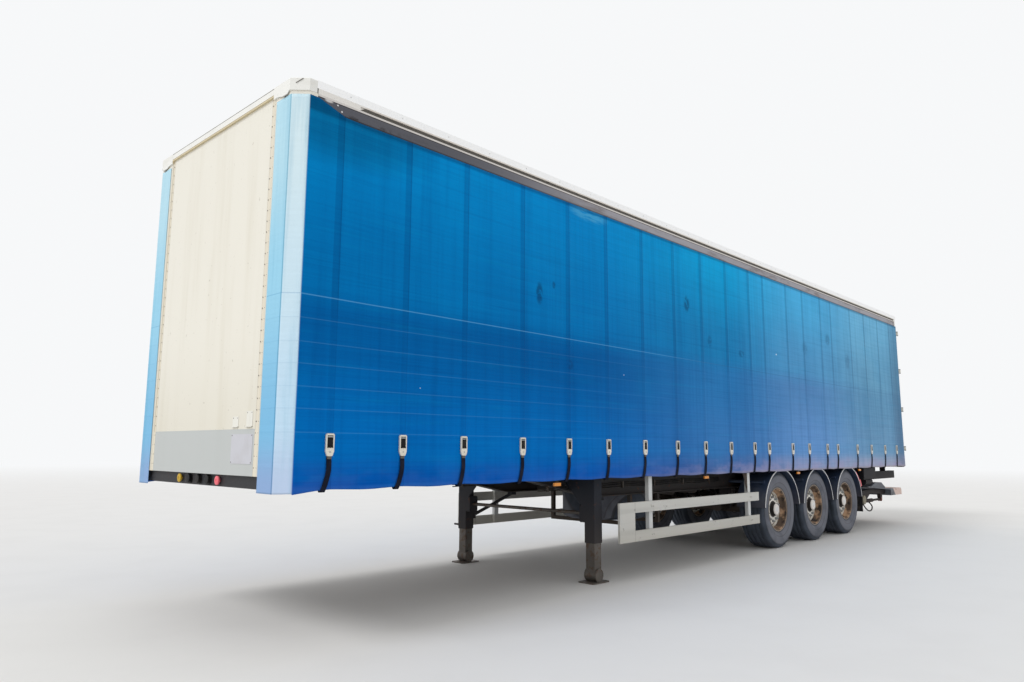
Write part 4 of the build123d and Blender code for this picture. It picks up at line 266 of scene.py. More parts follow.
def curtain_surface():
    """Coated cloth, bleached towards the rear, where a painted sheen lightens it too; pale round the front corner
    from bleaching and painted sunlight; dusty along the hem; with a painted shadow under the rail and painted shade
    near the front top corner.
    """
    s = Surface("curtain_blue", srgb(0, 92, 184), 0.45)
    s.shader.inputs["Specular IOR Level"].default_value = 0.02
    rail_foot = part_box("cant_rails")[0].z
    levels = (1.10, 1.38, 2.30, 2.62, 3.80)
    front = s.shades(s.z, list(zip(levels, (
        srgb(2, 94, 186), srgb(0, 113, 194), srgb(0, 98, 168), srgb(0, 121, 190), srgb(0, 140, 210)))))
    middle = s.shades(s.z, list(zip(levels, (
        srgb(80, 110, 170), srgb(60, 126, 192), srgb(42, 126, 190), srgb(24, 133, 192), srgb(4, 170, 228)))))
    rear = s.shades(s.z, list(zip(levels, (
        srgb(150, 166, 206), srgb(104, 156, 216), srgb(92, 147, 202), srgb(88, 162, 212), srgb(78, 184,
                                                                                               236)))))
    tail = s.shades(s.z, list(zip(levels, (
        srgb(172, 178, 202), srgb(118, 166, 204), srgb(104, 160, 198), srgb(110, 170, 206), srgb(118, 190,
                                                                                                 228)))))
    # Front to rear: the cloth is bleached towards the rear, and its paler, redder tones there are also a painted
    # sheen.
    s.colour = s.shades(s.x, ((at(3.1), front), (at(6.3), middle), (at(8.8), rear), (at(12.0), tail)))
    s.deepen(s.span(s.x, at(12.8), at(13.3)), srgb(216, 212, 216))
    # Painted shade near the front top corner of the left side.
    s.deepen(s.spot(0.3, 3.90, 1.2, 0.5), srgb(224, 208, 206))
    s.deepen(s.clouds(0.62, 0.36, 0.8, 4.0), srgb(196, 214, 226), 0.30)
    s.layer(s.clouds(0.52, 0.78, 0.9, 4.0, (1.0, 1.0, 1.4)), srgb(6, 150, 208), amount=0.14)
    s.deepen(s.clouds(0.46, 0.8, 1.0, 3.0, (7.0, 1.0, 0.3)), srgb(186, 208, 220), 0.40)
    s.layer(s.clouds(0.52, 0.8, 1.0, 4.0, (0.8, 1.0, 18.0)), srgb(10, 168, 216), amount=0.10)
    s.deepen(s.clouds(0.44, 0.66, 1.0, 2.0, (26.0, 1.0, 0.7)), srgb(196, 212, 222), 0.18)
    s.deepen(s.clouds(0.44, 0.66, 1.0, 2.0, (0.6, 1.0, 70.0)), srgb(196, 212, 222), 0.20)
    s.deepen(s.clouds(0.52, 0.8, 1.0, 3.0, (1.4, 1.0, 34.0)), srgb(200, 214, 226), 0.30)
    rearward = s.span(s.x, at(3.0), at(9.0), 0.05, 1.0)
    hem = s.both(s.span(s.z, 1.34, 1.10), s.clouds(0.40, 0.66, 3.0, 4.0, (1.0, 1.0, 2.5)))
    s.layer(s.both(s.scaled(hem, 0.6), rearward), srgb(166, 160, 196), 0.6)
    s.layer(s.both(s.span(s.z, 1.115, 1.088), rearward), srgb(168, 158, 164), 0.6, 0.6)
    for station, level, reach, rise, strength in (
        (2.636, 2.85, 0.06, 0.13, 0.65), (2.85, 2.965, 0.03, 0.045, 0.55), (5.36, 3.14, 0.08, 0.12, 0.6),
        (5.90, 2.74, 0.07, 0.09, 0.35), (9.85, 3.19, 0.12, 0.12, 0.3), (3.10, 2.20, 0.06, 0.06, 0.35),
        (8.90, 2.95, 0.12, 0.14, 0.22), (10.70, 2.90, 0.12, 0.18, 0.22), (6.75, 2.66, 0.10, 0.06, 0.4),
    ):
        ragged = s.both(s.spot(station, level, reach, rise), s.clouds(0.30, 0.52, 16.0, 3.0))
        s.layer(ragged, srgb(8, 52, 92), amount=strength)
    worn = s.both(s.spot(3.42, 3.81, 0.38, 0.085), s.clouds(0.30, 0.60, 3.0, 3.0, (2.0, 1.0, 14.0)))
    s.layer(worn, srgb(96, 184, 218), amount=0.45)
    # Painted shadow of the rail along the top of the curtain.
    s.deepen(s.span(s.z, rail_foot - 0.035, rail_foot - 0.005), srgb(196, 200, 204))
    for station, level, size in ((7.855, 2.755, 0.022), (4.008, 2.166, 0.010), (1.20, 1.85, 0.007)):
        s.layer(s.spot(station, level, size, size * 0.7), srgb(206, 224, 236), amount=0.9)
    s.deepen(s.both(s.read("band"), s.span(s.z, SEAM_LEVEL - 0.2, SEAM_LEVEL + 0.1, 0.25, 0.60)),
             srgb(188, 206, 216))
    s.deepen(s.both(s.read("stitch"), s.span(s.z, SEAM_LEVEL - 0.2, SEAM_LEVEL + 0.1, 0.2, 0.5)),
             srgb(120, 158, 176))
    # A painted highlight along the seam and, fainter, the ribs towards the front; further back the same lines turn
    # darker.
    s.layer(s.both(s.read("seam"), s.span(s.x, at(3.5), at(6.5), 0.50, 0.12)), srgb(112, 184, 226))
    s.deepen(s.both(s.read("seam"), s.span(s.x, at(4.5), at(7.0), 0.0, 0.7)), srgb(168, 186, 206))
    # The front wrap and its slanted facet: pale from bleaching and from painted sunlight and sheen, the facet paler
    # still as painted light.
    wrap = s.span(s.x, at(0.108), at(0.096))
    across = s.math("ABSOLUTE", s.y)
    pale = s.shades(s.z, (
        (1.10, srgb(140, 168, 208)), (1.50, srgb(126, 184, 220)), (2.60, srgb(152, 204, 228)),
        (3.60, srgb(180, 216, 230))))
    facet = s.shades(s.z, (
        (1.10, srgb(188, 206, 232)), (1.60, srgb(196, 223, 242)), (2.60, srgb(205, 228, 240)),
        (3.60, srgb(212, 232, 239))))
    corner = s.within(across, 1.180, 1.300, 0.004)
    s.colour = s.blend(wrap, s.colour, s.blend(corner, pale, facet))
    s.deepen(s.both(wrap, s.within(across, 1.170, 1.176, 0.004)), srgb(206, 220, 226))
    s.layer(s.both(wrap, s.read("seam")), srgb(70, 130, 176), amount=0.4)
    streaks = s.clouds(0.46, 0.78, 1.0, 4.0, (10.0, 10.0, 0.6))
    s.layer(s.both(wrap, s.scaled(streaks, 0.4)), srgb(104, 168, 196))
    s.relief(s.grain(1.0, 5.0, (1.2, 1.0, 24.0)), 0.003)
    s.relief(s.grain(1.6, 4.0), 0.008)
    s.relief(s.grain(600.0, 1.0), 0.0002)
    return s.done()


def white_surface(name="white_paint", tone=(226, 224, 215)):
    """Aged white paint with rain streaks and chips."""
    s = Surface(name, srgb(*tone), 0.45)
    s.layer(s.clouds(0.48, 0.8, 1.0, 4.0, (5.0, 5.0, 0.5)), srgb(186, 178, 160), 0.6, 0.35)
    s.layer(s.patches(26.0, 0.06), srgb(150, 142, 128), 0.7, 0.6)
    s.relief(s.grain(2.0, 2.0), 0.002)
    return s.done(0.002)


def wall_surface():
    """Cream front wall: dusty streaks, painted shade towards the bottom, tan joint strips beside the posts and a
    greyer kick plate.
    """
    s = Surface("cream_wall", srgb(228, 224, 212), 0.45)
    s.layer(s.clouds(0.46, 0.8, 1.0, 4.0, (5.0, 5.0, 0.4)), srgb(198, 190, 168), 0.6, 0.35)
    # Painted shade, darker towards the bottom.
    s.layer(s.span(s.z, 2.4, 1.2), srgb(196, 188, 166), 0.6, 0.30)
    s.layer(s.patches(24.0, 0.05), srgb(150, 140, 122), 0.7, 0.5)
    ahead_of = s.span(s.x, FRONT_X - 0.040, FRONT_X - 0.030)
    across = s.math("ABSOLUTE", s.y)
    s.layer(s.both(s.scaled(s.span(s.z, 1.5065, 1.5045), 0.8), s.span(across, 0.896, 0.893)),
            srgb(176, 182, 184), 0.55)
    s.layer(s.both(ahead_of, s.within(across, 0.896, 0.952, 0.001)), srgb(220, 212, 194), 0.5)
    s.layer(s.both(ahead_of, s.within(across, 0.894, 0.896, 0.001)), srgb(140, 130, 110), 0.7, 0.7)
    s.layer(s.both(ahead_of, s.within(across, 0.952, 0.954, 0.001)), srgb(140, 130, 110), 0.7, 0.7)
    s.relief(s.grain(2.0, 2.0), 0.002)
    return s.done(0.002)


def header_surface():
    """White header: a dark joint under its top edge, a tan lower lip and painted shade along the bottom of the cap
    ends.
    """
    s = Surface("header_white", srgb(232, 231, 226), 0.42)
    low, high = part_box("front_header")
    middle = s.span(s.math("ABSOLUTE", s.y), 0.935, 0.929)
    s.layer(s.clouds(0.46, 0.8, 1.0, 4.0, (4.0, 4.0, 8.0)), srgb(196, 192, 180), 0.6, 0.35)
    s.layer(s.both(middle, s.span(s.z, high.z - 0.061, high.z - 0.065)), srgb(206, 192, 158), 0.6)
    s.layer(s.both(middle, s.within(s.z, high.z - 0.067, high.z - 0.065, 0.001)), srgb(120, 106, 84), 0.7)
    s.layer(s.both(middle, s.within(s.z, high.z - 0.017, high.z - 0.012, 0.001)), srgb(84, 80, 74), 0.7, 0.85)
    # Painted shade along the bottom edge, under the cap ends.
    s.layer(s.span(s.z, low.z + 0.016, low.z), srgb(96, 84, 70), 0.7, 0.85)
    s.layer(s.patches(24.0, 0.06), srgb(150, 142, 128), 0.7, 0.5)
    s.relief(s.grain(2.0, 2.0), 0.002)
    return s.done(0.003)


def cant_rail_surface():
    """Weathered anodised rail: a white top strip, a dark groove, a light line, a grey-brown face and a painted
    shadow along its foot.
    """
    s = Surface("anodised_rail", srgb(143, 141, 147), 0.5, 0.2)
    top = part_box("cant_rails")[1].z
    s.layer(s.grain(1.0, 4.0, (3.0, 3.0, 30.0)), srgb(178, 176, 184), 0.45, 0.5)
    s.layer(s.patches(5.0, 0.25, 0.2, 5.0, (0.4, 1.0, 2.0)), srgb(112, 100, 94), 0.7, 0.6)
    # Painted shadow along the foot of the rail, where it meets the curtain.
    s.layer(s.span(s.z, top - 0.130, top - 0.146), srgb(58, 50, 46), 0.8, 0.80)
    s.layer(s.within(s.z, top - 0.064, top - 0.059, 0.002), srgb(92, 84, 82), 0.7)
    s.layer(s.within(s.z, top - 0.056, top - 0.043, 0.002), srgb(216, 210, 204), 0.5, 0.9)
    s.layer(s.within(s.z, top - 0.0415, top - 0.0125, 0.001), srgb(104, 100, 94), 0.8)
    s.layer(s.span(s.z, top - 0.0125, top - 0.0115), srgb(222, 214, 204), 0.5)
    ahead_of = s.span(s.math("ADD", s.x, s.math("MULTIPLY", s.z, 1.6)), at(0.545) + 6.36, at(0.545) + 6.364)
    s.layer(s.both(ahead_of, s.span(s.z, top - 0.0425, top - 0.0415)), srgb(230, 226, 220), 0.5)
    darker = s.both(s.span(s.x, at(4.2), at(1.4)), s.span(s.z, top - 0.057, top - 0.060))
    s.deepen(darker, srgb(138, 140, 146))
    s.layer(s.spot(0.262, 3.949, 0.045, 0.016), srgb(206, 202, 198), 0.5, 0.9)
    s.layer(s.both(s.span(s.x, at(1.2), at(0.5)), s.both(s.patches(9.0, 0.3, 0.15), s.span(s.z, 3.92, 3.88))),
            srgb(40, 36, 36), 0.8)
    return s.done(0.0015)


def chassis_surface(name, tone, film):
    """Worn matt black paint, with a film of road dust, thicker low down, and some rust."""
    s = Surface(name, srgb(*tone), 0.6)
    s.shader.inputs["Specular IOR Level"].default_value = film
    s.layer(s.clouds(0.42, 0.7, 2.4, 5.0), srgb(74, 68, 64), 0.8, film)
    s.layer(s.span(s.z, 1.15, 0.35), BROWN_DUST, 0.9, film)
    s.layer(s.patches(17.0, 0.14), RUST, 0.85, film * 1.5)
    s.relief(s.grain(60.0, 3.0), 0.0012)
    return s.done(0.002)


def rubber_surface():
    """Tyre rubber: grey-brown road dust on the sidewalls, darker on the tread."""
    s = Surface("tyre_rubber", srgb(52, 59, 70), 0.85)
    radius = axle_radius(s)
    s.layer(s.clouds(0.34, 0.7, 6.0, 5.0), srgb(82, 89, 102), 0.95, 0.5)
    side_wall = s.both(s.within(radius, 0.325, 0.455, 0.04), s.span(s.grain(3.0, 4.0), 0.25, 0.6, 0.45, 1.0))
    s.layer(side_wall, srgb(124, 125, 133), 0.95, 0.7)
    s.layer(s.within(radius, 0.296, 0.318, 0.006), srgb(44, 42, 42), 0.8, 0.6)
    s.layer(s.within(radius, 0.372, 0.378, 0.003), srgb(70, 66, 64), 0.9, 0.5)
    s.layer(s.within(radius, 0.480, 0.486, 0.003), srgb(66, 62, 60), 0.9, 0.5)
    s.relief(s.grain(90.0, 2.0), 0.0008)
    return s.done()


def rim_surface():
    """Silver paint with painted shade in the hand holes and round the studs, brown dirt in the barrel and a pale
    cap.
    """
    s = Surface("wheel_steel", srgb(240, 236, 228), 0.42)
    radius = axle_radius(s)
    offset = s.math("WRAP", s.math("SUBTRACT", s.x, AXLE_X[0]), AXLE_PITCH / 2, -AXLE_PITCH / 2)
    turn = s.math("WRAP", s.math("ARCTAN2", s.math("SUBTRACT", s.z, AXLE_Z), offset), pi / 10, -pi / 10)
    along = s.math("SUBTRACT", s.math("MULTIPLY", radius, s.math("COSINE", turn)), HOLE_CIRCLE)
    across = s.math("MULTIPLY", radius, s.math("SINE", turn))
    reach = s.math("SQRT", s.math("ADD", s.math("POWER", along, 2.0), s.math("POWER", across, 2.0)))
    s.layer(s.clouds(0.46, 0.72, 12.0, 5.0), srgb(172, 158, 136), 0.6, 0.45)
    # Painted shade inside the hand holes.
    s.layer(s.span(reach, 0.034, 0.031), srgb(22, 19, 18), 0.85)
    barrel = s.both(s.span(radius, 0.2515, 0.2545), s.span(radius, 0.300, 0.296))
    s.layer(barrel, srgb(88, 72, 60), 0.85)
    s.layer(s.both(barrel, s.clouds(0.44, 0.60, 7.0, 4.0)), srgb(176, 142, 112), 0.8)
    s.layer(s.both(barrel, s.clouds(0.56, 0.66, 9.0, 3.0, (1.0, 1.0, 0.6))), srgb(44, 36, 32), 0.8)
    s.layer(s.span(radius, 0.288, 0.294), srgb(124, 108, 92), 0.8, 0.8)
    # Painted shade: a dark ring round the studs.
    s.layer(s.within(radius, 0.084, 0.112, 0.008), srgb(34, 29, 27), 0.75)
    s.layer(s.span(radius, 0.083, 0.078), srgb(228, 222, 216), 0.4)
    s.layer(s.patches(34.0, 0.08), srgb(112, 84, 62), 0.85, 0.5)
    s.relief(s.grain(120.0, 2.0), 0.0006)
    return s.done(0.002)


def metal_surface(name, tone, roughness, metallic, spots=0.2, spot_tone=(120, 104, 86)):
    """Bare or coated metal with soft blotches."""
    s = Surface(name, srgb(*tone), roughness, metallic)
    darker = tuple(c * 0.72 for c in tone)
    s.layer(s.clouds(0.4, 0.7, 3.0, 5.0), srgb(*darker), min(1.0, roughness + 0.15), 0.6)
    s.layer(s.patches(22.0, spots), srgb(*spot_tone), 0.8, 0.55)
    s.relief(s.grain(70.0, 2.0), 0.0005)
    return s.done(0.0015)


def guard_surface():
    """Side guard: beige-grey rails, paler posts, dusty low down, and a dark brown gusset."""
    s = Surface("anodised", srgb(198, 196, 190), 0.45, 0.2)
    s.layer(s.clouds(0.45, 0.75, 1.0, 3.0, (0.6, 1.0, 14.0)), srgb(168, 167, 160), 0.55, 0.35)
    s.layer(s.clouds(0.42, 0.68, 1.2, 4.0), srgb(196, 196, 190), 0.5, 0.25)
    s.layer(s.span(s.z, 0.62, 0.38), srgb(164, 156, 138), 0.7, 0.30)
    s.layer(s.patches(18.0, 0.08), srgb(108, 100, 88), 0.8, 0.6)
    posts = s.both(s.span(s.z, 0.8125, 0.8135), s.span(s.grain(4.0, 3.0), 0.3, 0.6, 0.6, 1.0))
    s.layer(posts, srgb(206, 208, 208), 0.45, 0.8)
    lower_posts = s.both(s.within(s.z, 0.513, 0.699, 0.001), s.span(s.x, at(4.22), at(4.24)))
    s.layer(lower_posts, srgb(206, 208, 208), 0.45, 0.8)
    s.layer(s.both(s.span(s.z, 0.8125, 0.8135), s.within(s.x, at(6.874), at(6.740), 0.0005)),
            srgb(70, 58, 50), 0.8)
    s.layer(s.within(s.x, at(4.210), at(4.206), 0.001), srgb(110, 106, 98), 0.7, 0.6)
    return s.done(0.002)


def plastic_surface():
    """Blue-black moulded plastic with a film of dust."""
    s = Surface("black_plastic", srgb(40, 54, 78), 0.5)
    s.layer(s.clouds(0.42, 0.72, 3.5, 5.0), srgb(92, 100, 112), 0.85, 0.45)
    s.layer(s.span(s.z, 0.95, 0.5), BROWN_DUST, 0.9, 0.3)
    return s.done()


def plain_surface(name, tone, roughness, dust=0.35, fine=60.0, depth=0.0006):
    """Plain coloured stuff with dust on it."""
    s = Surface(name, srgb(*tone), roughness)
    s.shader.inputs["Specular IOR Level"].default_value = 0.2
    s.layer(s.clouds(0.42, 0.72, 6.0, 5.0), DUST, 0.9, dust)
    s.relief(s.grain(fine, 2.0), depth)
    return s.done()


def web_surface():
    """Dark woven webbing, ribbed across."""
    s = Surface("navy_web", srgb(14, 19, 36), 0.8)
    s.shader.inputs["Specular IOR Level"].default_value = 0.15
    s.layer(s.clouds(0.45, 0.7, 12.0, 4.0), srgb(54, 54, 68), 0.95, 0.25)
    s.relief(s.grain(1.0, 0.0, (40.0, 40.0, 420.0)), 0.0008)
    return s.done()


def buckle_surface():
    """Cream enamel, chipped to grey at the rim."""
    s = Surface("cream_metal", srgb(228, 222, 208), 0.4)
    s.layer(s.patches(60.0, 0.14), srgb(140, 124, 104), 0.75, 0.6)
    s.layer(s.clouds(0.45, 0.75, 14.0, 4.0), srgb(186, 178, 160), 0.6, 0.3)
    return s.done(0.001)


def lamp_surface(name, tone, base):
    """A lens with a black foot above it."""
    s = Surface(name, srgb(*tone), 0.25)
    s.layer(s.span(s.z, base, base + 0.001), srgb(20, 20, 20), 0.6)
    s.relief(s.grain(1.0, 0.0, (160.0, 160.0, 1.0)), 0.0006)
    return s.done()


def cluster_surface():
    """Rear lamps: red outside, amber and clear parts inside, behind fine ribs."""
    s = Surface("red_lens", srgb(158, 22, 20), 0.25)
    across = s.math("ABSOLUTE", s.y)
    s.layer(s.within(across, 0.775, 0.875, 0.001), srgb(214, 120, 30), 0.25)
    s.layer(s.within(across, 0.680, 0.773, 0.001), srgb(206, 206, 204), 0.25)
    for joint in (0.774, 0.876):
        s.layer(s.within(across, joint - 0.001, joint + 0.001, 0.0005), srgb(26, 24, 24), 0.6)
    s.layer(s.clouds(0.42, 0.72, 6.0, 5.0), DUST, 0.8, 0.15)
    s.relief(s.grain(1.0, 0.0, (1.0, 160.0, 160.0)), 0.0006)
    return s.done()


def platform_surface():
    """Scuffed aluminium: dark and dusty, with a pale, stained root."""
    s = Surface("bare_alloy", srgb(96, 100, 108), 0.5, 0.3)
    s.layer(s.clouds(0.4, 0.75, 1.0, 5.0, (2.0, 9.0, 9.0)), srgb(80, 76, 74), 0.7, 0.6)
    s.layer(s.clouds(0.55, 0.75, 3.0, 4.0), srgb(160, 172, 182), 0.5, 0.35)
    low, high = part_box("lift_platform")
    slope = s.math("ADD", s.x, s.math("SUBTRACT", high.z, s.z))
    root = s.both(s.span(slope, low.x + 0.60, low.x + 0.56), s.span(s.z, high.z + 0.002, high.z))
    s.layer(root, srgb(222, 196, 184), 0.55, 0.9)
    line = s.within(s.z, high.z - 0.045, high.z - 0.036, 0.004)
    s.layer(s.both(root, line), srgb(132, 88, 68), 0.8, 0.8)
    s.layer(s.both(root, s.patches(14.0, 0.2)), srgb(160, 114, 92), 0.8)
    s.relief(s.grain(1.0, 0.0, (60.0, 60.0, 1.0)), 0.0012)
    return s.done(0.003)


def roof_surface():
    """Off-white coated roof sheet with the bows' shadows on it."""
    s = Surface("roof_sheet", srgb(222, 223, 222), 0.5)
    s.layer(s.clouds(0.42, 0.8, 0.9, 6.0, (1.0, 2.4, 1.0)), srgb(196, 193, 184), 0.7, 0.3)
    first_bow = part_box("roof_bows")[0].x + 0.015
    offset = s.math("WRAP", s.math("SUBTRACT", s.x, first_bow), BOW_PITCH / 2, -BOW_PITCH / 2)
    bow = s.within(offset, -0.012, 0.012, 0.035)
    s.deepen(bow, srgb(212, 211, 206), 0.6)
    across = s.math("ABSOLUTE", s.y)
    edges = s.span(across, 1.10, 1.25)
    s.layer(s.both(edges, s.patches(5.0, 0.35, 0.2)), srgb(176, 170, 156), 0.7, 0.4)
    rim_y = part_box("roof_skin")[1].y
    s.layer(s.span(across, rim_y - 0.003, rim_y - 0.001), srgb(252, 252, 252), 0.5)
    s.relief(bow, 0.004)
    s.relief(s.grain(1.0, 3.0, (2.6, 0.5, 1.0)), 0.006)
    return s.done()


def wood_surface():
    """Brown film-faced plywood."""
    s = Surface("plywood", srgb(112, 82, 58), 0.6)
    s.layer(s.grain(1.0, 5.0, (2.0, 30.0, 30.0)), srgb(76, 54, 38), 0.75, 0.6)
    s.layer(s.patches(4.0, 0.3, 0.3), DUST, 0.9, 0.5)
    s.relief(s.grain(1.0, 0.0, (220.0, 220.0, 1.0)), 0.0006)
    return s.done()


CURTAIN = curtain_surface()
WHITE = white_surface()
CREAM = wall_surface()
HEADER = header_surface()
CANT_RAIL = cant_rail_surface()
CHASSIS = chassis_surface("chassis_paint", (34, 34, 38), 0.45)
# A darker copy of the chassis paint for the rails, hangers and lift parts under the body: painted shade.
SHADED_CHASSIS = chassis_surface("shaded_chassis_paint", (17, 19, 27), 0.2)
# A bluer copy of the chassis paint for the landing legs, lighter than the shaded copy: painted sunlight.
SUNLIT_LEG_PAINT = chassis_surface("sunlit_leg_paint", (34, 40, 50), 0.2)
CARRIAGE = plain_surface("dusty_paint", (136, 130, 114), 0.7, 0.5)
RUBBER = rubber_surface()
RIM = rim_surface()
GALVANISED = metal_surface("galvanised", (168, 170, 170), 0.45, 0.55)
STEEL = metal_surface("bare_steel", (104, 98, 92), 0.5, 0.5, 0.35, (92, 66, 48))
GUARD = guard_surface()
PLASTIC = plastic_surface()
BLACK_RUBBER = plain_surface("black_rubber", (30, 30, 32), 0.75, 0.4)
WEB = web_surface()
BUCKLE = buckle_surface()
BLACK = plain_surface("black_insert", (13, 13, 15), 0.5, 0.06)
AMBER = lamp_surface("amber_lens", (226, 140, 40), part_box("side_lamps")[0].z + 0.030)
RED = cluster_surface()
PLATFORM = platform_surface()
ROOF = roof_surface()
WOOD = wood_surface()
TRIM = plain_surface("white_trim", (226, 226, 226), 0.45, 0.2)
LABEL = plain_surface("blank_label", (196, 196, 202), 0.5, 0.12)
BROWN = plain_surface("rusty_eye", (112, 62, 54), 0.7, 0.2)
PINK = plain_surface("worn_red", (236, 112, 122), 0.4, 0.1)
YELLOW = plain_surface("coupling_yellow", (196, 160, 40), 0.5, 0.3)
HOSE = plain_surface("hose_rubber", (28, 28, 30), 0.6, 0.25)

NODE_SURFACES = (
    (CHASSIS, "main_beams cross_members axles trailing_arms shock_absorbers spare_carrier air_tanks"),
    (SHADED_CHASSIS, "side_rails spring_hangers lift_rails lift_power_pack lift_arms"),
    (STEEL, "coupler_plate kingpin landing_feet landing_shaft"),
    (GALVANISED, "roof_bows door_hinges side_pillars door_locks_left door_locks_right"),
    (BLACK_RUBBER, "rear_buffers air_springs mud_flaps"),
    (WHITE, "rear_frame door_left door_right"), (CREAM, "front_bulkhead front_posts"),
    (HEADER, "front_header"),
    (CANT_RAIL, "cant_rails"), (ROOF, "roof_skin"), (WOOD, "cargo_floor"), (PLASTIC, "mudguards"),
    (SUNLIT_LEG_PAINT, "landing_legs"), (GUARD, "side_guards"), (RUBBER, "spare_wheel"), (AMBER, "side_lamps"),
    (RED, "rear_lamps"), (CARRIAGE, "lift_carriage"), (PLATFORM, "lift_platform lift_tip"),
    (RIM, " ".join(f"wheel_{number}_{side_name}" for number in (1, 2, 3) for side_name, side in SIDES)),
)
for material, names in NODE_SURFACES:
    for name in names.split():
        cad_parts[name].data.materials.clear()
        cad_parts[name].data.materials.append(material)


# Mesh helpers
def prism(bm, outline, origin, across, along, depth, index=0):
    """Extrudes a plane outline, given in across and along, by the depth vector."""
    bottom = [bm.verts.new(origin + a * across + b * along) for a, b in outline]
    top = [bm.verts.new(v.co + depth) for v in bottom]
    faces = [bm.faces.new(bottom), bm.faces.new(top)]
    for i in range(len(outline)):
        j = (i + 1) % len(outline)
        faces.append(bm.faces.new((bottom[i], bottom[j], top[j], top[i])))
    for face in faces:
        face.material_index = index
    bmesh.ops.recalc_face_normals(bm, faces=faces)


def block(bm, low, high, index=0):
    """A block between two corners."""
    size = high - low
    prism(
        bm, ((0, 0), (size.x, 0), (size.x, size.y), (0, size.y)), low,
        Vector((1, 0, 0)), Vector((0, 1, 0)), Vector((0, 0, size.z)), index,
    )


def lathe(bm, profile, centre, axis, segments, index=0, closed=False):
    """Turns a profile of (radius, distance along the axis) about an axis."""
    axis = axis.normalized()
    first = axis.orthogonal().normalized()
    second = axis.cross(first)
    rings = []
    for radius, distance in profile:
        hub = centre + axis * distance
        if radius < 1e-6:
            rings.append([bm.verts.new(hub)])
            continue
        ring = []
        for k in range(segments):
            turn = 2 * pi * k / segments
            ring.append(bm.verts.new(hub + radius * (cos(turn) * first + sin(turn) * second)))
        rings.append(ring)
    pairs = list(zip(rings, rings[1:]))
    if closed:
        pairs.append((rings[-1], rings[0]))
    faces = []
    for inner, outer in pairs:
        for k in range(segments):
            n = (k + 1) % segments
            corners = [inner[k % len(inner)], inner[n % len(inner)], outer[n % len(outer)],
                       outer[k % len(outer)]]
            distinct = list(dict.fromkeys(corners))
            if len(distinct) > 2:
                faces.append(bm.faces.new(distinct))
    for face in faces:
        face.material_index = index
    bmesh.ops.recalc_face_normals(bm, faces=faces)


def tube(bm, points, radius, sides=10, index=0, flat=None):
    """Sweeps a round, or with flat=(width, thickness, side vector) a flat, section along points."""
    rings = []
    for i, point in enumerate(points):
        ahead_point = points[min(i + 1, len(points) - 1)]
        behind_point = points[max(i - 1, 0)]
        direction = (ahead_point - behind_point).normalized()
        if flat:
            width, thickness, side_vector = flat
            wide = (side_vector - direction * side_vector.dot(direction)).normalized()
            deep = direction.cross(wide)
            corners = ((-1, -1), (1, -1), (1, 1), (-1, 1))
            rings.append([bm.verts.new(point + wide * a * width / 2 + deep * b * thickness / 2) for a,
                          b in corners])
        else:
            wide = direction.cross(Vector((0.3, 0.2, 1))).normalized()
            deep = direction.cross(wide)
            ring = []
            for k in range(sides):
                turn = 2 * pi * k / sides
                ring.append(bm.verts.new(point + radius * (cos(turn) * wide + sin(turn) * deep)))
            rings.append(ring)
    faces = [bm.faces.new(rings[0]), bm.faces.new(rings[-1])]
    for inner, outer in zip(rings, rings[1:]):
        for k in range(len(inner)):
            n = (k + 1) % len(inner)
            faces.append(bm.faces.new((inner[k], inner[n], outer[n], outer[k])))
    for face in faces:
        face.material_index = index
    bmesh.ops.recalc_face_normals(bm, faces=faces)


def piece(name, bm, materials, body, replaced=(), sharp=35.0):
    """Makes the mesh into a named piece that rides on a body."""
    for face in bm.faces:
        face.smooth = True
    for edge in bm.edges:
        if len(edge.link_faces) == 2 and edge.calc_face_angle(0) > radians(sharp):
            edge.smooth = False
    mesh = bpy.data.meshes.new(name)
    bm.to_mesh(mesh)
    bm.free()
    for material in materials:
        mesh.materials.append(material)
    made = bpy.data.objects.new(name, mesh)
    bpy.context.scene.collection.objects.link(made)
    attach(made, body)
    if replaced:
        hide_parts(*replaced)
    return made


# Curtains
buckle_low, buckle_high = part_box("curtain_buckles")
BUCKLES = (0.380, 1.033, 1.674, 2.400, 3.065, 3.708, 4.380, 5.055, 5.703, 6.357,
           7.024, 7.469, 8.255, 8.860, 9.577, 10.026, 10.927, 11.637, 12.375, 13.053)
BAND_HALF = 0.027
CORNER_CUT = 0.098
CLOTH = 0.0012
CLOTH_INSET = 0.0022
RIB_LEVELS = (1.48, 1.645, 1.80, 1.96, 2.115, 2.285)
COLUMN_STEP = 0.06
ROW_STEP = 0.08
RISE_START, RISE_END = 0.420, 0.180
TOP_LEVEL, FRONT_TOP_LEVEL = 3.866, 3.945


def bell(distance, width):
    """A smooth hump, 1 at the middle and 0.37 at width."""
    return exp(-((distance / width) ** 2))


def spread(marks, step):
    """The marks in order, with even steps put in between those far apart."""
    marks = sorted(set(round(m, 5) for m in marks))
    filled = [marks[0]]
    for start, end in zip(marks, marks[1:]):
        count = max(1, round((end - start) / step))
        filled += [start + (end - start) * k / count for k in range(1, count + 1)]
    return filled


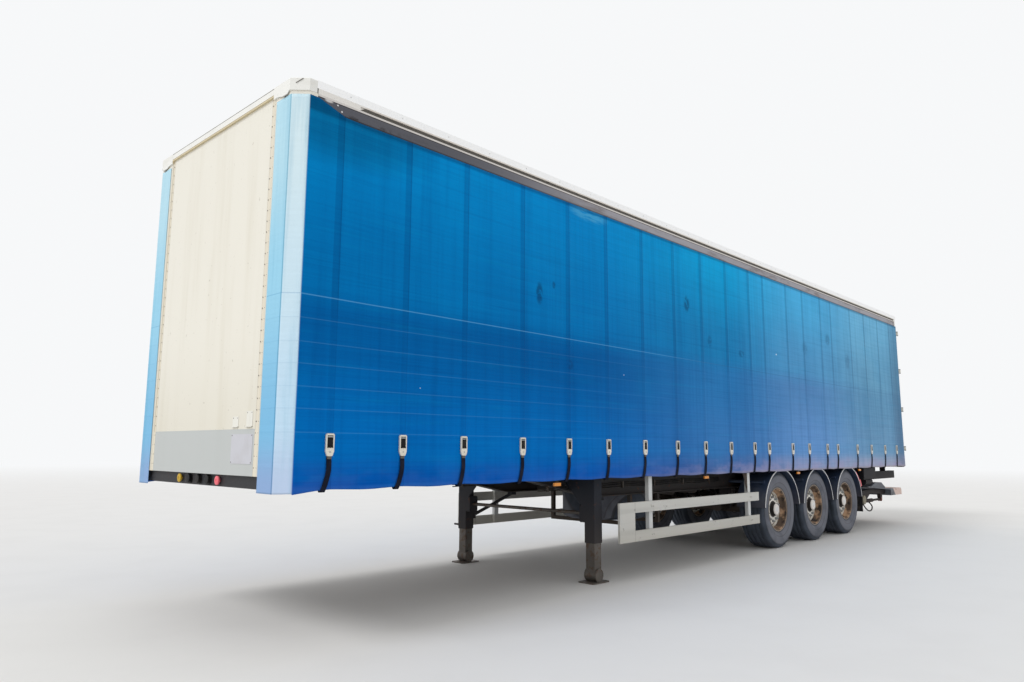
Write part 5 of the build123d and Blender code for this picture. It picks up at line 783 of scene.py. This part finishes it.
def curtain(side_name, side):
    """A hung curtain with its front wrap: webbing bands, a welded seam, ribs and soft wrinkles."""
    low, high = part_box(f"curtain_{side_name}")
    outer = max(abs(low.y), abs(high.y))
    inner_edge = min(abs(low.y), abs(high.y))
    wrap = outer - CORNER_CUT - inner_edge
    slant = CORNER_CUT * 2 ** 0.5
    corners = (
        Vector((high.x, inner_edge, 0)),
        Vector((high.x, outer - CORNER_CUT, 0)),
        Vector((high.x - CORNER_CUT, outer, 0)),
        Vector((low.x, outer, 0)),
    )
    lengths = [(b - a).length for a, b in zip(corners, corners[1:])]

    def plan(distance):
        """The point of the curtain's line that far from its front edge, and the way out of it."""
        rest = distance
        for k, length in enumerate(lengths):
            if rest <= length or k == len(lengths) - 1:
                run = (corners[k + 1] - corners[k]).normalized()
                return corners[k] + run * rest, Vector((run.y, -run.x, 0))
            rest -= length

    def rounded(distance):
        """The same with the two folds rounded."""
        samples = [plan(min(max(distance + k * 0.004, 0), sum(lengths))) for k in range(-3, 4)]
        point = sum((s[0] for s in samples), Vector()) / len(samples)
        if distance < 0.02 or distance > sum(lengths) - 0.02:
            point = plan(distance)[0]
        return point, sum((s[1] for s in samples), Vector()).normalized()

    side_start = wrap + slant
    columns = [0, 0.014, wrap, side_start, sum(lengths) - 0.05, sum(lengths)]
    for fold in (wrap, side_start):
        columns += [fold - 0.024, fold - 0.012, fold - 0.006, fold + 0.006, fold + 0.012, fold + 0.024]
    for station in BUCKLES:
        place = side_start + station - CORNER_CUT
        for edge in (BAND_HALF - 0.006, BAND_HALF, BAND_HALF + 0.006):
            columns += [place - edge, place + edge]
        columns.append(place)
    rows = [low.z, low.z + 0.012, low.z + 0.03, low.z + 0.06, low.z + 0.10, 1.25, 1.30, TOP_LEVEL - 0.02,
            TOP_LEVEL]
    for level in RIB_LEVELS:
        rows += [level - 0.012, level - 0.005, level, level + 0.005, level + 0.012]
    rows += [SEAM_LEVEL - 0.012, SEAM_LEVEL - 0.006, SEAM_LEVEL, SEAM_LEVEL + 0.006, SEAM_LEVEL + 0.012]

    bm = bmesh.new()
    band_layer = bm.verts.layers.float.new("band")
    seam_layer = bm.verts.layers.float.new("seam")
    stitch_layer = bm.verts.layers.float.new("stitch")
    grid = []
    for distance in spread(columns, COLUMN_STEP):
        base, out = rounded(distance)
        station = FRONT_X - base.x
        on_side = distance > side_start
        rise = min(max((RISE_START - station) / (RISE_START - RISE_END), 0), 1)
        top = TOP_LEVEL + (FRONT_TOP_LEVEL - TOP_LEVEL) * rise
        nearest = min(abs(station - b) for b in BUCKLES) if on_side else 1.0
        stitched = on_side and min(abs(station - b - BAND_HALF) for b in BUCKLES) < 0.0005
        from_band = nearest - BAND_HALF
        band = 1.0 if from_band < 0.0005 else 0.0
        between = min(1.0, max(0.0, from_band) / 0.25) if on_side else 0.3
        column = []
        for row in spread(rows, ROW_STEP):
            level = row
            if row > 3.5:
                level = 3.5 + (row - 3.5) * (top - 3.5) / (TOP_LEVEL - 3.5)
            sag = 0.010 * between + 0.022 * bell(station, 0.25)
            if row < 1.30:
                level -= sag * (1.30 - row) / (1.30 - low.z)
            away = min(1.0, max(0.0, (top - 0.05 - level) / 0.5))
            lift = noise.noise(Vector((station * 1.1, 3.0 * side, level * 1.3)))
            cross = noise.noise(Vector((station * 3.3 + 9, 5.0 * side, level * 0.5)))
            push = 0.005 * lift * between * away + 0.0025 * cross * between * away
            low_zone = bell(max(0.0, level - low.z), 0.22)
            pull = bell(nearest, 0.10)
            push += low_zone * (0.003 * between - 0.005 * pull) if on_side else 0.0
            crease = noise.noise(Vector((station * 9.0, 1.0 * side, level * 1.1)))
            push += 0.004 * crease * low_zone * (0.3 + between * 0.7)
            if side > 0 and 1.12 < level < 1.70:
                fold_station = 5.60 + 0.40 * ((1.70 - level) / 0.58) ** 1.6
                push += 0.004 * bell(station - fold_station, 0.022)
            seam = bell(level - SEAM_LEVEL, 0.003)
            if level < SEAM_LEVEL:
                push += 0.0007
            for rib in RIB_LEVELS:
                fade = max(0.0, 1.0 - station / 9.0)
                push += 0.0007 * bell(level - rib, 0.005) * fade
                seam += 0.3 * bell(level - rib, 0.003) * fade
            push = max(-0.008, min(0.011, push))
            if on_side and nearest < 0.05:
                push = min(push, 0.0) + 0.0008 * band
            outward = Vector((out.x, side * out.y, 0))
            vert = bm.verts.new(Vector((base.x, side * base.y, level)) + outward * (push - CLOTH_INSET))
            vert[band_layer] = band
            vert[seam_layer] = min(1.0, seam)
            vert[stitch_layer] = 1.0 if stitched else 0.0
            column.append(vert)
        grid.append(column)
    for left_column, right_column in zip(grid, grid[1:]):
        for k in range(len(left_column) - 1):
            corners_of_face = [left_column[k], left_column[k + 1], right_column[k + 1], right_column[k]]
            if side > 0:
                corners_of_face.reverse()
            bm.faces.new(corners_of_face)
    bm.normal_update()
    if sum(f.normal.y * side for f in bm.faces) < 0:
        bmesh.ops.reverse_faces(bm, faces=bm.faces)
    cloth = piece(f"cloth_{side_name}", bm, [CURTAIN], "trailer", [f"curtain_{side_name}"],
                  180)
    thick = cloth.modifiers.new("thickness", "SOLIDIFY")
    thick.thickness = CLOTH
    thick.offset = -1


for side_name, side in SIDES:
    curtain(side_name, side)

# Buckles: an enamelled frame with a rounded tongue, a black lever in its window and a grey strap end
BUCKLE_HALF = 0.034
WINDOW_HALF = 0.0245
BUCKLE_BACK = 1.2748
FORWARD, UPWARD = Vector((1, 0, 0)), Vector((0, 0, 1))
buckle_top = buckle_high.z
shoulder_level, tongue_level = buckle_low.z + 0.072, buckle_low.z + 0.020
window_low, window_high = buckle_low.z + 0.079, buckle_low.z + 0.167
TONGUE = (
    (0.016, tongue_level), (0.023, tongue_level + 0.004), (0.027, tongue_level + 0.014),
    (0.034, shoulder_level - 0.018),
    (BUCKLE_HALF, shoulder_level),
)


def rectangle(half, low_level, high_level):
    """A rectangle's outline about a middle line."""
    return (-half, low_level), (half, low_level), (half, high_level), (-half, high_level)


def mirrored(half_outline):
    """An outline from its right half, which runs upwards."""
    return tuple(half_outline) + tuple((-a, b) for a, b in reversed(half_outline))


buckles = bmesh.new()
straps = bmesh.new()
for side_name, side in SIDES:
    out = Vector((0, side, 0))
    for number, station in enumerate(BUCKLES):
        origin = Vector((at(station), side * BUCKLE_BACK, 0))
        plate = TONGUE + ((BUCKLE_HALF, buckle_top - 0.009), (BUCKLE_HALF - 0.008, buckle_top))
        prism(buckles, mirrored(plate), origin, FORWARD, UPWARD, out * 0.007)
        prism(buckles, mirrored(TONGUE + ((BUCKLE_HALF, window_low),)), origin + out * 0.006, FORWARD, UPWARD,
              out * 0.008)
        top_bar = ((BUCKLE_HALF, window_high), (BUCKLE_HALF, buckle_top - 0.009),
                   (BUCKLE_HALF - 0.008, buckle_top))
        prism(buckles, mirrored(top_bar), origin + out * 0.006, FORWARD, UPWARD, out * 0.009)
        for edge in (-1, 1):
            bar_middle = origin + FORWARD * edge * (BUCKLE_HALF + WINDOW_HALF) / 2 + out * 0.006
            bar = rectangle((BUCKLE_HALF - WINDOW_HALF) / 2, window_low - 0.002, window_high + 0.002)
            prism(buckles, bar, bar_middle, FORWARD, UPWARD, out * 0.0085)
        prism(buckles, rectangle(WINDOW_HALF, window_low, window_high), origin, FORWARD, UPWARD, out * 0.0085,
              1)
        prism(buckles, rectangle(WINDOW_HALF, window_low, window_low + 0.011), origin, FORWARD, UPWARD,
              out * 0.0155, 1)
        lever = (
            (WINDOW_HALF - 0.004, window_low + 0.016), (WINDOW_HALF - 0.002, window_low + 0.030),
            (WINDOW_HALF - 0.006, window_high - 0.024),
        )
        prism(buckles, mirrored(lever), origin, FORWARD, UPWARD, out * 0.0135, 1)
        roller = origin + UPWARD * (window_high - 0.010) + out * 0.012
        tube(buckles, [roller - FORWARD * WINDOW_HALF, roller + FORWARD * WINDOW_HALF], 0.0055, 8, 2)
        prism(buckles, rectangle(0.018, buckle_low.z, tongue_level + 0.004), origin, FORWARD, UPWARD,
              out * 0.008, 3)
        rivet = origin + UPWARD * (shoulder_level - 0.022) + out * 0.0135
        lathe(buckles, ((0.0, 0.003), (0.005, 0.002), (0.007, 0.0)), rivet, out, 8, 2)
        drift = 0.038 + 0.014 * noise.noise(Vector((number * 1.7, side * 2.0, 0)))
        curl = 0.003 + 0.009 * abs(noise.noise(Vector((number * 2.3, side * 4.0, 5))))
        top_level = buckle_low.z + 0.012
        points = []
        for step in range(11):
            share = step / 10
            slant = max(0.0, (share - 0.35) / 0.65) ** 1.5
            bulge = 0.008 * sin(pi * min(1, share * 1.3)) * (1 - share) + curl * bell(share - 0.8, 0.22)
            points.append(Vector((
                at(station) + drift * slant, side * (1.2762 + bulge), top_level + (1.078 - top_level) * share)))
        for reach, level in ((1.268, 1.0640), (1.252, 1.0640), (1.2405, 1.078), (1.2390, 1.118)):
            points.append(Vector((at(station) + drift, side * reach, level)))
        tube(straps, points, 0, flat=(0.040, 0.0022, FORWARD))
piece("buckles", buckles, [BUCKLE, BLACK, GALVANISED, STEEL], "trailer", ["curtain_buckles"])
piece("straps", straps, [WEB], "trailer", ["curtain_straps"], 60)


# Tyres with a grooved tread, and the wheels' nuts
TREAD_GROOVES = (-0.098, -0.036, 0.036, 0.098)
GROOVE_HALF = 0.0055
GROOVE_DEPTH = 0.013
TYRE_SEGMENTS = 144


def tyre_profile(bead, top):
    """Half-round section of a road tyre from bead to bead, as (radius, offset)."""
    side_points = [
        (bead, 0.148), (bead + 0.012, 0.1515), (bead + 0.022, 0.1600), (bead + 0.030, 0.1620),
        (bead + 0.045, 0.1670),
        (0.350, 0.1795), (0.372, 0.1862), (0.376, 0.1880), (0.400, 0.1915), (0.430, 0.1920), (0.460, 0.1895),
        (0.480, 0.1855), (0.484, 0.1868), (0.494, 0.1805), (0.503, 0.1750), (0.518, 0.1672), (0.526, 0.1615),
        (0.530, 0.1550), (top - 0.001, 0.140),
    ]
    tread = []
    for groove in reversed(TREAD_GROOVES):
        for edge, depth in ((GROOVE_HALF + 0.002, 0), (GROOVE_HALF, 0.002),
                            (GROOVE_HALF - 0.002, GROOVE_DEPTH)):
            tread.append((top - depth, groove + edge))
        for edge, depth in ((GROOVE_HALF - 0.002, GROOVE_DEPTH), (GROOVE_HALF, 0.002),
                            (GROOVE_HALF + 0.002, 0)):
            tread.append((top - depth, groove - edge))
    mirrored = [(radius, -offset) for radius, offset in reversed(side_points)]
    return side_points + tread + mirrored


def tyre(number, side_name, side):
    """A tyre with four grooves and notched shoulders."""
    name = f"tyre_{number}_{side_name}"
    low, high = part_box(name)
    centre = Vector(((low.x + high.x) / 2, (low.y + high.y) / 2, (low.z + high.z) / 2))
    top = (high.z - low.z) / 2
    bm = bmesh.new()
    profile = tyre_profile(0.2855, top - 0.0002)
    lathe(bm, profile, centre, Vector((0, side, 0)), TYRE_SEGMENTS, closed=True)
    for vert in bm.verts:
        rim = vert.co - centre
        offset = abs(rim.y)
        flat = Vector((rim.x, 0, rim.z))
        if offset > 0.158 and flat.length > 0.505:
            turn = round(TYRE_SEGMENTS * (pi + atan2(flat.z, flat.x)) / (2 * pi))
            if turn % 3 == 0:
                vert.co -= flat.normalized() * 0.004 + Vector((0, 0.003 if rim.y > 0 else -0.003, 0))
    piece(f"treaded_{name}", bm, [RUBBER], f"wheel_unit_{number}_{side_name}", [name], 50)


def nuts(number, side_name, side):
    """Ten nuts on studs round the hub."""
    low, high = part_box(f"wheel_{number}_{side_name}")
    face = side * 1.0775
    bm = bmesh.new()
    axis = Vector((0, side, 0))
    for k in range(10):
        turn = 2 * pi * (k + 0.5) / 10
        seat = Vector(((low.x + high.x) / 2 + 0.1675 * cos(turn), face - side * 0.002,
                       AXLE_Z + 0.1675 * sin(turn)))
        lathe(bm, ((0.021, 0), (0.021, 0.006), (0.0175, 0.007)), seat, axis, 12)
        lathe(bm, ((0.0185, 0.004), (0.0185, 0.026), (0.016, 0.030), (0.011, 0.031)), seat, axis, 6)
        lathe(bm, ((0.010, 0.028), (0.010, 0.042), (0.008, 0.044), (0, 0.044)), seat, axis, 8)
    hub = Vector(((low.x + high.x) / 2, side * 1.1535, AXLE_Z))
    lathe(bm, ((0.0, 0.003), (0.030, 0.0028), (0.034, 0.0)), hub, axis, 24, 1)
    piece(f"nuts_{number}_{side_name}", bm, [GALVANISED, TRIM], f"wheel_unit_{number}_{side_name}")


for number in (1, 2, 3):
    for side_name, side in SIDES:
        tyre(number, side_name, side)
        nuts(number, side_name, side)

# Mudguard edge trim, with a worn red marker at the rear end of the last guards
GUARD_OUTER_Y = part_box("mudguards")[1].y
TRIM_RADIUS = 0.5655


def guard_arc(centre_x, side, start, end, steps, radius=TRIM_RADIUS, inset=0.0035):
    """Points along a guard's edge between two angles from the rear, in degrees."""
    points = []
    for step in range(steps + 1):
        angle = radians(180 - start - (end - start) * step / steps)
        points.append(Vector((
            centre_x + radius * cos(angle), side * (GUARD_OUTER_Y - inset), AXLE_Z + radius * sin(angle))))
    return points


trim = bmesh.new()
for side_name, side in SIDES:
    for centre_x in AXLE_X:
        tube(trim, guard_arc(centre_x, side, 5.5, 174.5, 44), 0, flat=(0.0075, 0.0125, Vector((0, 1, 0))))
    marker = guard_arc(AXLE_X[2], side, 24.0, 54.0, 8, TRIM_RADIUS + 0.014)
    tube(trim, marker, 0, 4, 1, (0.006, 0.026, Vector((0, 1, 0))))
    marker_foot = guard_arc(AXLE_X[2], side, 22.0, 33.0, 4, TRIM_RADIUS + 0.036)
    tube(trim, marker_foot, 0, 4, 1, (0.006, 0.066, Vector((0, 1, 0))))
piece("guard_trim", trim, [TRIM, PINK], "trailer")

# Roof edge rivets, the slot in the header's caps and the rivets on the rails' front ends
RIVET_LEVEL = 4.046
DOME = ((0.0075, 0), (0.006, 0.0022), (0.003, 0.0034), (0, 0.0036))
ROOF_EDGE_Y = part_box("roof_skin")[1].y
rivets = bmesh.new()
for side_name, side in SIDES:
    out = Vector((0, side, 0))
    for k in range(27):
        lathe(rivets, DOME, Vector((at(0.45 + 0.5 * k), side * ROOF_EDGE_Y, RIVET_LEVEL)), out, 8, 1)
    slot_start = Vector((at(0.024) + 0.001, side * 1.199, 4.030))
    slot_end = Vector((at(0.062) + 0.001, side * 1.237, 4.066))
    tube(rivets, [slot_start, slot_end], 0, 4, 0, (0.006, 0.004, Vector((1, side, 0)).normalized()))
    for station, level in ((0.339, 3.940), (0.377, 3.901)):
        lathe(rivets, DOME, Vector((at(station), side * 1.2712, level)), out, 10, 1)
piece("roof_rivets", rivets, [STEEL, TRIM], "trailer")

# Front wall: rivets along the joint strips, a blank plate with four screws and two small brackets
WALL_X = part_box("front_bulkhead")[1].x
AHEAD = Vector((1, 0, 0))
ACROSS = Vector((0, 1, 0))
fittings = bmesh.new()
for side_name, side in SIDES:
    for k in range(34):
        for reach in (0.906, 0.943):
            lathe(fittings, ((0.005, 0), (0.004, 0.0014), (0, 0.002)),
                  Vector((WALL_X - 0.0005, side * reach, 1.23 + 0.082 * k)), AHEAD, 6, 1)
plate_outline = ((0.548, 1.262), (0.555, 1.255), (0.863, 1.255), (0.870, 1.262), (0.870, 1.463),
                 (0.863, 1.470),
                 (0.555, 1.470), (0.548, 1.463))
prism(fittings, plate_outline, Vector((WALL_X - 0.0005, 0, 0)), ACROSS, UPWARD, AHEAD * 0.0030)
for reach, level in ((0.558, 1.265), (0.860, 1.265), (0.558, 1.460), (0.860, 1.460)):
    lathe(fittings, ((0.005, 0), (0.004, 0.0014), (0, 0.002)), Vector((WALL_X + 0.0025, reach, level)), AHEAD,
          8, 1)
for start, end, top_level in ((0.548, 0.637, 1.600), (0.762, 0.851, 1.636)):
    outline = ((start, 1.52), (end, 1.52), (end, top_level), (start, top_level))
    prism(fittings, outline, Vector((WALL_X - 0.0040, 0, 0)), ACROSS, UPWARD, AHEAD * 0.0040, 2)
    lip = ((start, 1.52), (end, 1.52), (end, 1.526), (start, 1.526))
    prism(fittings, lip, Vector((WALL_X - 0.0040, 0, 0)), ACROSS, UPWARD, AHEAD * 0.0120, 2)
    for reach in (start + 0.012, end - 0.012):
        lathe(fittings, ((0.004, 0), (0.003, 0.0014), (0, 0.002)), Vector((WALL_X, reach, top_level - 0.012)),
              AHEAD, 8, 1)
piece("front_fittings", fittings, [LABEL, STEEL, WHITE], "trailer")

# Couplings on the front beam: two palm couplings and three capped sockets
BEAM_FACE_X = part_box("cross_members")[1].x
couplings = bmesh.new()
for reach, index in ((-0.34, 3), (0.34, 2)):
    seat = Vector((BEAM_FACE_X - 0.002, reach, 1.125))
    lathe(couplings, ((0.0, 0.0), (0.016, 0.0), (0.016, 0.012), (0.032, 0.014), (0.034, 0.018),
                      (0.034, 0.026),
                      (0.026, 0.030), (0.012, 0.030), (0.010, 0.026), (0.0, 0.026)), seat, AHEAD, 20, index)
for reach in (-0.17, 0.0, 0.17):
    seat = Vector((BEAM_FACE_X - 0.002, reach, 1.125))
    lathe(couplings, ((0.0, 0.0), (0.040, 0.0), (0.040, 0.006), (0.030, 0.008), (0.030, 0.020),
                      (0.034, 0.021),
                      (0.034, 0.026), (0.030, 0.029), (0.0, 0.030)), seat, AHEAD, 20, 1)
    lug = ((reach - 0.010, 1.155), (reach + 0.010, 1.155), (reach + 0.008, 1.168), (reach - 0.008, 1.168))
    prism(couplings, lug, Vector((BEAM_FACE_X - 0.002, 0, 0)), ACROSS, UPWARD, AHEAD * 0.028, 1)
piece("front_couplings", couplings, [STEEL, BLACK, PINK, YELLOW], "trailer")


def smooth_line(points, steps):
    """Points of a smooth line through the given ones."""
    padded = [points[0] * 2 - points[1]] + list(points) + [points[-1] * 2 - points[-2]]
    line = []
    for before, start, end, after in zip(padded, padded[1:], padded[2:], padded[3:]):
        for step in range(steps):
            t = step / steps
            line.append(0.5 * (2 * start + (end - before) * t + (2 * before - 5 * start + 4 * end - after) * t ** 2
                               + (3 * start - before - 3 * end + after) * t ** 3))
    return line + [points[-1]]


# Air lines clipped along the outside of the beams
BEAM_WEB_Y = 0.6565
lines = bmesh.new()
for side_name, side in SIDES:
    for level, radius in ((0.985, 0.006), (0.962, 0.0075), (0.938, 0.006)):
        run = [Vector((at(3.30 + 0.35 * k), side * (BEAM_WEB_Y + radius), level + 0.004 * ((k * 7) % 3 - 1)))
               for k in range(12)]
        tube(lines, smooth_line(run, 4), radius, 8)
    for k in range(6):
        low_corner = Vector((at(3.45 + 0.68 * k) - 0.010, min(side * 0.655, side * 0.676), 0.925))
        block(lines, low_corner, low_corner + Vector((0.020, 0.021, 0.072)), 1)
piece("air_lines", lines, [HOSE, STEEL], "trailer")

# Bolts on the side guards and the spring hangers
bolts = bmesh.new()


def bolt(place, axis, size, index=0):
    """A washer and a six-sided head."""
    lathe(bolts, ((0, 0), (size * 1.35, 0), (size * 1.35, 0.0018), (size, 0.0020)), place, axis, 14, index)
    lathe(bolts, ((size, 0.0018), (size, 0.0075), (size * 0.8, 0.0090), (0, 0.0090)), place, axis, 6, index)


GUARD_FACE_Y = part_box("side_guards")[1].y
for side_name, side in SIDES:
    out = Vector((0, side, 0))
    for station in (4.548, 6.910):
        for level in (0.456, 0.756):
            for offset in (-0.018, 0.018):
                bolt(Vector((at(station + offset), side * (GUARD_FACE_Y - 0.0005), level)), out, 0.0065, 1)
    for centre_x in AXLE_X:
        for offset in (-0.035, 0.035):
            for level in (0.815, 0.775):
                bolt(Vector((centre_x + 0.505 + offset, side * 0.7425, level)), out, 0.011)
piece("bolts", bolts, [STEEL, GUARD], "trailer")

# Tail lift: the hoses looped under the cross tube, and rusty collars on the cylinders' rear eyes
lift = bmesh.new()
EYE_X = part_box("lift_arms")[0].x + 0.230
EYE_Z = 0.465
for side_name, side in SIDES:
    hose = [Vector((at(station), side * reach, level)) for station, reach, level in (
        (11.560, 1.050, 0.470), (11.590, 1.088, 0.420), (11.690, 1.098, 0.345), (11.830, 1.100, 0.294),
        (11.970, 1.100, 0.300), (12.030, 1.096, 0.360), (11.990, 1.070, 0.425), (11.940, 1.040, 0.452))]
    tube(lift, smooth_line(hose, 6), 0.011, 10)
    collar = ((0.0, -0.036), (0.018, -0.036), (0.018, -0.0305), (0.037, -0.0305), (0.037, 0.0305),
              (0.018, 0.0305),
              (0.018, 0.036), (0.0, 0.036))
    lathe(lift, collar, Vector((EYE_X, side * 1.045, EYE_Z)), Vector((0, 1, 0)), 20, 1)
piece("lift_hose", lift, [HOSE, BROWN], "tail_lift", (), 60)

# Rear doors: rubber seals along the meeting edges, the top and the bottom
door_low, door_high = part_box("door_left")
DOOR_FACE_X = at(13.600)
for side_name, side in SIDES:
    seal = bmesh.new()
    near, far_edge = door_low.y + 0.004, 1.16
    for start, end, low_level, high_level in (
        (near, near + 0.016, door_low.z + 0.006, door_high.z - 0.006),
        (near + 0.018, far_edge, door_low.z + 0.006, door_low.z + 0.024),
        (near + 0.018, far_edge, door_high.z - 0.024, door_high.z - 0.006),
    ):
        outline = ((side * start, low_level), (side * end, low_level), (side * end, high_level),
                   (side * start, high_level))
        prism(seal, outline, Vector((DOOR_FACE_X + 0.001, 0, 0)), ACROSS, UPWARD, AHEAD * -0.004)
    piece(f"door_seal_{side_name}", seal, [BLACK_RUBBER], f"door_{side_name}_leaf")

# Floor and light
floor_mesh = bpy.data.meshes.new("floor")
reach = 600
floor_mesh.from_pydata(
    [(-reach, -reach, 0), (reach, -reach, 0), (reach, reach, 0), (-reach, reach, 0)], [], [(0, 1, 2, 3)]
)
floor = bpy.data.objects.new("floor", floor_mesh)
bpy.context.scene.collection.objects.link(floor)
ground = Surface("floor", (0.68, 0.67, 0.655), 0.85)
ground.layer(ground.clouds(0.4, 0.7, 1.3, 5.0), (0.62, 0.61, 0.595), amount=0.25)
floor_mesh.materials.append(ground.done())
far = ground.math("SQRT", ground.math("ADD", ground.math("POWER", ground.x, 2.0),
                                      ground.math("POWER", ground.y, 2.0)))
path = ground.nodes.new("ShaderNodeLightPath")
seen = ground.math("MAXIMUM", path.outputs["Is Camera Ray"], path.outputs["Is Glossy Ray"])
fade = ground.math("MULTIPLY", ground.span(far, 14.0, 60.0), seen)
glow = ground.nodes.new("ShaderNodeEmission")
glow.inputs["Color"].default_value = (0.93, 0.94, 0.95, 1)
mixer = ground.nodes.new("ShaderNodeMixShader")
output = ground.nodes["Material Output"]
ground.links.new(fade, mixer.inputs[0])
ground.links.new(ground.shader.outputs[0], mixer.inputs[1])
ground.links.new(glow.outputs[0], mixer.inputs[2])
ground.links.new(mixer.outputs[0], output.inputs["Surface"])

world = bpy.data.worlds.new("studio")
bpy.context.scene.world = world
world.use_nodes = True
sky = world.node_tree
plain = sky.nodes["Background"]
plain.inputs["Color"].default_value = (0.93, 0.94, 0.95, 1)
plain.inputs["Strength"].default_value = 0.95
backdrop = sky.nodes.new("ShaderNodeBackground")
backdrop.inputs["Color"].default_value = (0.93, 0.94, 0.95, 1)
backdrop.inputs["Strength"].default_value = 1.0
rays = sky.nodes.new("ShaderNodeLightPath")
either = sky.nodes.new("ShaderNodeMath")
either.operation = "MAXIMUM"
sky.links.new(rays.outputs["Is Camera Ray"], either.inputs[0])
sky.links.new(rays.outputs["Is Glossy Ray"], either.inputs[1])
sky_mix = sky.nodes.new("ShaderNodeMixShader")
sky.links.new(either.outputs[0], sky_mix.inputs[0])
sky.links.new(plain.outputs[0], sky_mix.inputs[1])
sky.links.new(backdrop.outputs[0], sky_mix.inputs[2])
sky.links.new(sky_mix.outputs[0], sky.nodes["World Output"].inputs["Surface"])

key = bpy.data.objects.new("key", bpy.data.lights.new("key", "SUN"))
key.data.energy = 1.25
key.data.angle = radians(22)
key.rotation_euler = Vector((-0.62, 0.12, -0.72)).to_track_quat("-Z", "Y").to_euler()
bpy.context.scene.collection.objects.link(key)

bpy.context.scene.view_settings.view_transform = "Standard"
